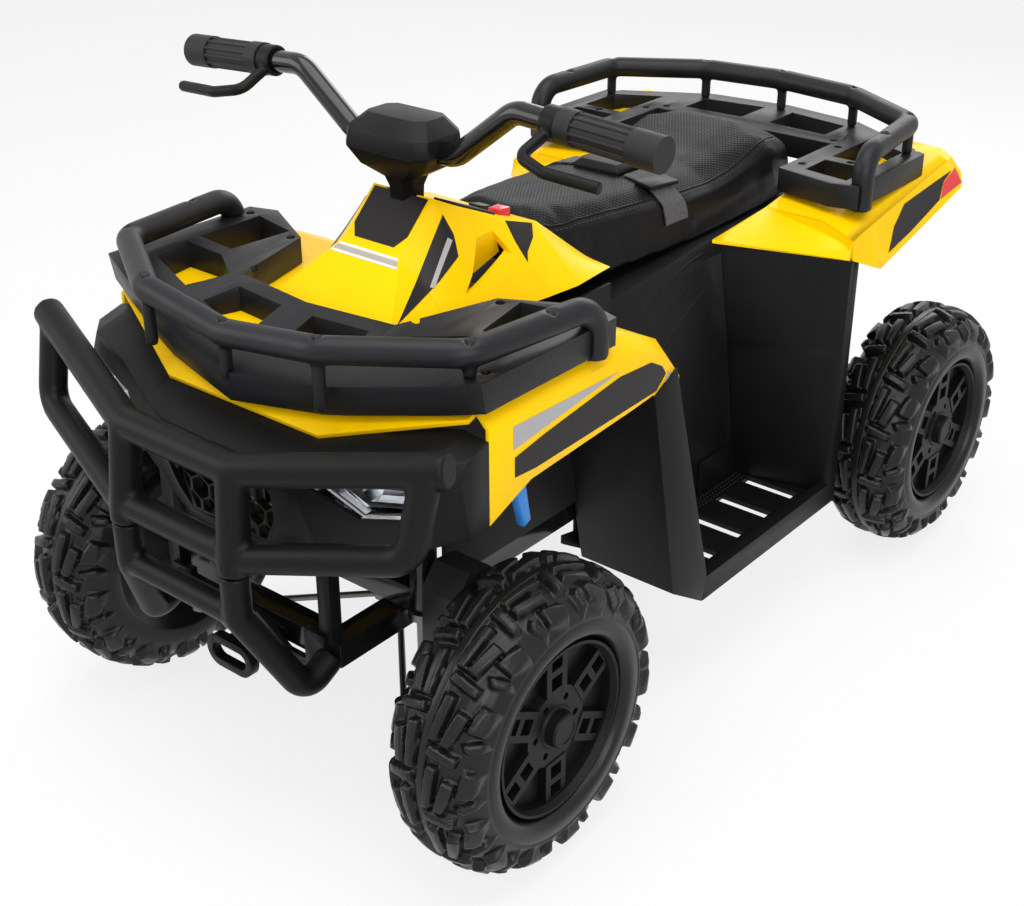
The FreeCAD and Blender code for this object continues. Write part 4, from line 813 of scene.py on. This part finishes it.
def lay_film(name, node, corners, material, side=1, lift=FILM_LIFT):
    tree = SURFACES[node]
    bm = bmesh.new()
    face = bm.faces.new([bm.verts.new(at(side * x, y, z)) for x, y, z in corners])
    bm.normal_update()
    centre = face.calc_center_median()
    outward = face.normal.copy()
    if outward.dot(centre - at(0, centre.y / MM - SHIFT_Y, BODY_MIDDLE_Z)) < 0:
        outward = -outward
        bmesh.ops.reverse_faces(bm, faces=bm.faces)
    first = outward.orthogonal().normalized()
    for axis in (first, outward.cross(first)):
        reach = [v.co.dot(axis) for v in bm.verts]
        steps = int((max(reach) - min(reach)) / (FILM_STEP * MM))
        for i in range(1, steps + 1):
            bmesh.ops.bisect_plane(bm, geom=bm.verts[:] + bm.edges[:] + bm.faces[:],
                                   plane_co=axis * (min(reach) + i * FILM_STEP * MM), plane_no=axis)
    for vertex in bm.verts:
        start = vertex.co + outward * FILM_REACH * MM
        hit, _, _, _ = tree.ray_cast(start, -outward, 2 * FILM_REACH * MM)
        if hit:
            vertex.co = hit + outward * lift * MM
    bmesh.ops.solidify(bm, geom=bm.faces[:], thickness=-FILM_THICK * MM)
    bmesh.ops.recalc_face_normals(bm, faces=bm.faces)
    attach(to_object(bm, name, material, 40.0), node)


# Films on the hood's flank, as y and z
HOOD_X = 238.0
HOOD_BAND = [
    (-378, 404), (-337, 411), (-228, 425), (-178, 422), (-160, 412), (-153, 402), (-168, 389),
    (-350, 383), (-378, 385),
]
HOOD_WEDGE = [(-380, 434), (-229, 431), (-380, 412)]
HOOD_STRIPES = [
    [(-148, 403), (-145, 400), (-159, 377), (-162, 380)],
    [(-142, 400), (-139, 396), (-150, 374), (-154, 376)],
]
# Films on the tower, the tank cover and the rear fender, as x, y and z
TOWER_BAND = [
    (47, -250, 543), (59, -249, 526), (71, -256, 509), (71, -282, 493), (71, -312, 480),
    (74, -344, 470), (58, -299, 496),
]
TOWER_STRIPE = [(59, -257, 525), (62, -254, 522), (71, -290, 488), (68, -293, 489)]
TANK_PATCH = [
    (63, -179, 521), (71, -147, 512), (80, -157, 502), (88, -175, 494), (94, -182, 487),
    (78, -182, 504),
]
PLATE = [
    (34, -255, 556), (34, -284, 527), (25, -294, 518), (-25, -294, 518), (-34, -284, 527),
    (-34, -255, 556),
]
FENDER_BAND = [
    (239, 440, 455), (243, 413, 448), (253, 392, 435), (255, 320, 417), (255, 268, 406),
    (246, 290, 428), (239, 322, 444),
]
FENDER_RED = [(239, 450, 456), (252, 446, 442), (253, 395, 436), (244, 413, 448)]
# Lines across the strip under the plate, as y of both edges
STRIP_LINES = [
    (-301.0, -303.0, WHITE, "strip_line_upper"),
    (-303.6, -307.0, SILVER, "strip_line_middle"),
    (-307.6, -309.6, WHITE, "strip_line_lower"),
]
# The strip falls and widens forward from its top edge
STRIP_Y, STRIP_Z, STRIP_HALF = -296.0, 516.0, 33.5
STRIP_RUN, STRIP_DROP, STRIP_FLARE = 62.0, 51.0, 42.0


def on_hood(outline):
    return [(HOOD_X, y, z) for y, z in outline]


def strip_corners(y0, y1):
    corners = []
    for y, side in ((y0, 1), (y1, 1), (y1, -1), (y0, -1)):
        part = (STRIP_Y - y) / STRIP_RUN
        corners.append((side * (STRIP_HALF + STRIP_FLARE * part), y, STRIP_Z - STRIP_DROP * part))
    return corners


lay_film("plate_film", "tank_cover", PLATE, CARBON)
for y0, y1, material, name in STRIP_LINES:
    lay_film(name, "tank_cover", strip_corners(y0, y1), material)
for label, side in (("left", 1), ("right", -1)):
    lay_film("hood_band_" + label, "front_hood", on_hood(HOOD_BAND), CARBON, side)
    lay_film("hood_wedge_" + label, "front_hood", on_hood(HOOD_WEDGE), SILVER, side)
    for i, stripe in enumerate(HOOD_STRIPES):
        name = "hood_stripe_%s_%d" % (label, i + 1)
        lay_film(name, "front_hood", on_hood(stripe), SILVER, side)
    lay_film("tower_band_" + label, "tank_cover", TOWER_BAND, CARBON, side)
    lay_film("tower_stripe_" + label, "tank_cover", TOWER_STRIPE, SILVER, side,
             FILM_LIFT + FILM_THICK)
    lay_film("tank_patch_" + label, "tank_cover", TANK_PATCH, CARBON, side)
    lay_film("fender_band_" + label, "rear_fender", FENDER_BAND, CARBON, side)
    lay_film("fender_reflector_" + label, "rear_fender", FENDER_RED, RED_FILM, side)


# Stage: pale floor, soft light, white surround
FLOOR_SIZE = 9.0
FLOOR_GLOW = 0.80
WORLD_LIGHT = 0.40
# Area lights: name, place, target, size and power, in metres and watts
LIGHTS = [
    ("key_top", (0.3, -0.5, 2.6), (0.0, 0.0, 0.3), (2.2, 2.2), 50.0),
    ("front_left", (1.9, -1.5, 1.3), (0.0, 0.0, 0.35), (1.6, 1.2), 24.0),
    ("front_right", (-1.6, -1.9, 1.4), (0.0, -0.1, 0.35), (1.4, 1.4), 17.0),
    ("back_rim", (-0.6, 2.2, 1.6), (0.0, 0.0, 0.4), (2.0, 1.0), 20.0),
]


# One for rays from the camera, through glass or off a shiny surface
def seen_directly(tree):
    path = tree.nodes.new("ShaderNodeLightPath")
    first = add_node(tree, "ShaderNodeMath", operation="MAXIMUM")
    second = add_node(tree, "ShaderNodeMath", operation="MAXIMUM")
    tree.links.new(path.outputs["Is Camera Ray"], first.inputs[0])
    tree.links.new(path.outputs["Is Transmission Ray"], first.inputs[1])
    tree.links.new(first.outputs["Value"], second.inputs[0])
    tree.links.new(path.outputs["Is Glossy Ray"], second.inputs[1])
    return second.outputs["Value"]


def make_floor():
    bm = bmesh.new()
    bmesh.ops.create_grid(bm, x_segments=2, y_segments=2, size=FLOOR_SIZE)
    material, tree, shader = new_material("floor_pale")
    cloud = noise(tree, object_coords(tree), 3.0)
    tint = ramp(tree, cloud, [(0.3, (0.86, 0.86, 0.86)), (0.7, (0.88, 0.88, 0.88))])
    tree.links.new(tint, shader.inputs["Base Color"])
    shader.inputs["Roughness"].default_value = 0.8
    glow = add_node(tree, "ShaderNodeEmission", Strength=1.0)
    share = add_node(tree, "ShaderNodeMath", operation="MULTIPLY")
    share.inputs[1].default_value = FLOOR_GLOW
    tree.links.new(seen_directly(tree), share.inputs[0])
    mix = tree.nodes.new("ShaderNodeMixShader")
    tree.links.new(share.outputs["Value"], mix.inputs["Fac"])
    tree.links.new(shader.outputs["BSDF"], mix.inputs[1])
    tree.links.new(glow.outputs["Emission"], mix.inputs[2])
    tree.links.new(mix.outputs["Shader"], tree.nodes["Material Output"].inputs["Surface"])
    floor = to_object(bm, "floor", material)


def make_world():
    world = bpy.data.worlds.new("studio")
    bpy.context.scene.world = world
    world.use_nodes = True
    tree = world.node_tree
    base = tree.nodes["Background"]
    base.inputs["Color"].default_value = (1.0, 1.0, 1.0, 1.0)
    base.inputs["Strength"].default_value = WORLD_LIGHT
    white = add_node(tree, "ShaderNodeBackground", Strength=1.0)
    white.inputs["Color"].default_value = (1.0, 1.0, 1.0, 1.0)
    mix = tree.nodes.new("ShaderNodeMixShader")
    tree.links.new(seen_directly(tree), mix.inputs["Fac"])
    tree.links.new(base.outputs["Background"], mix.inputs[1])
    tree.links.new(white.outputs["Background"], mix.inputs[2])
    tree.links.new(mix.outputs["Shader"], tree.nodes["World Output"].inputs["Surface"])


def area_light(name, place, target, size, power):
    data = bpy.data.lights.new(name, "AREA")
    data.shape = "RECTANGLE"
    data.size, data.size_y = size
    data.energy = power
    lamp = bpy.data.objects.new(name, data)
    lamp.location = place
    lamp.rotation_euler = (Vector(target) - Vector(place)).to_track_quat("-Z", "Y").to_euler()
    bpy.context.scene.collection.objects.link(lamp)


# Camera: its place and axes as fitted to the photograph, and its focal length in pixels
CAMERA_AT = (976.8, -1282.2, 1022.4)
CAMERA_RIGHT = (0.7735, 0.6338, -0.0013)
CAMERA_BACK = (0.5614, -0.6843, 0.4653)
FOCAL_PIXELS, PHOTO_PIXELS = 1564.8, 1024.0
SENSOR = 36.0


def make_camera():
    data = bpy.data.cameras.new("photo_camera")
    data.sensor_fit = "HORIZONTAL"
    data.sensor_width = SENSOR
    data.lens = FOCAL_PIXELS / PHOTO_PIXELS * SENSOR
    data.clip_end = 60.0
    camera = bpy.data.objects.new("photo_camera", data)
    back = Vector(CAMERA_BACK).normalized()
    up = back.cross(Vector(CAMERA_RIGHT).normalized()).normalized()
    right = up.cross(back)
    turn = Matrix((right, up, back)).transposed().to_4x4()
    camera.matrix_world = Matrix.Translation(at(*CAMERA_AT)) @ turn
    bpy.context.scene.collection.objects.link(camera)
    bpy.context.scene.camera = camera


make_floor()
make_world()
for light in LIGHTS:
    area_light(*light)
make_camera()
bpy.context.scene.view_settings.view_transform = "Standard"
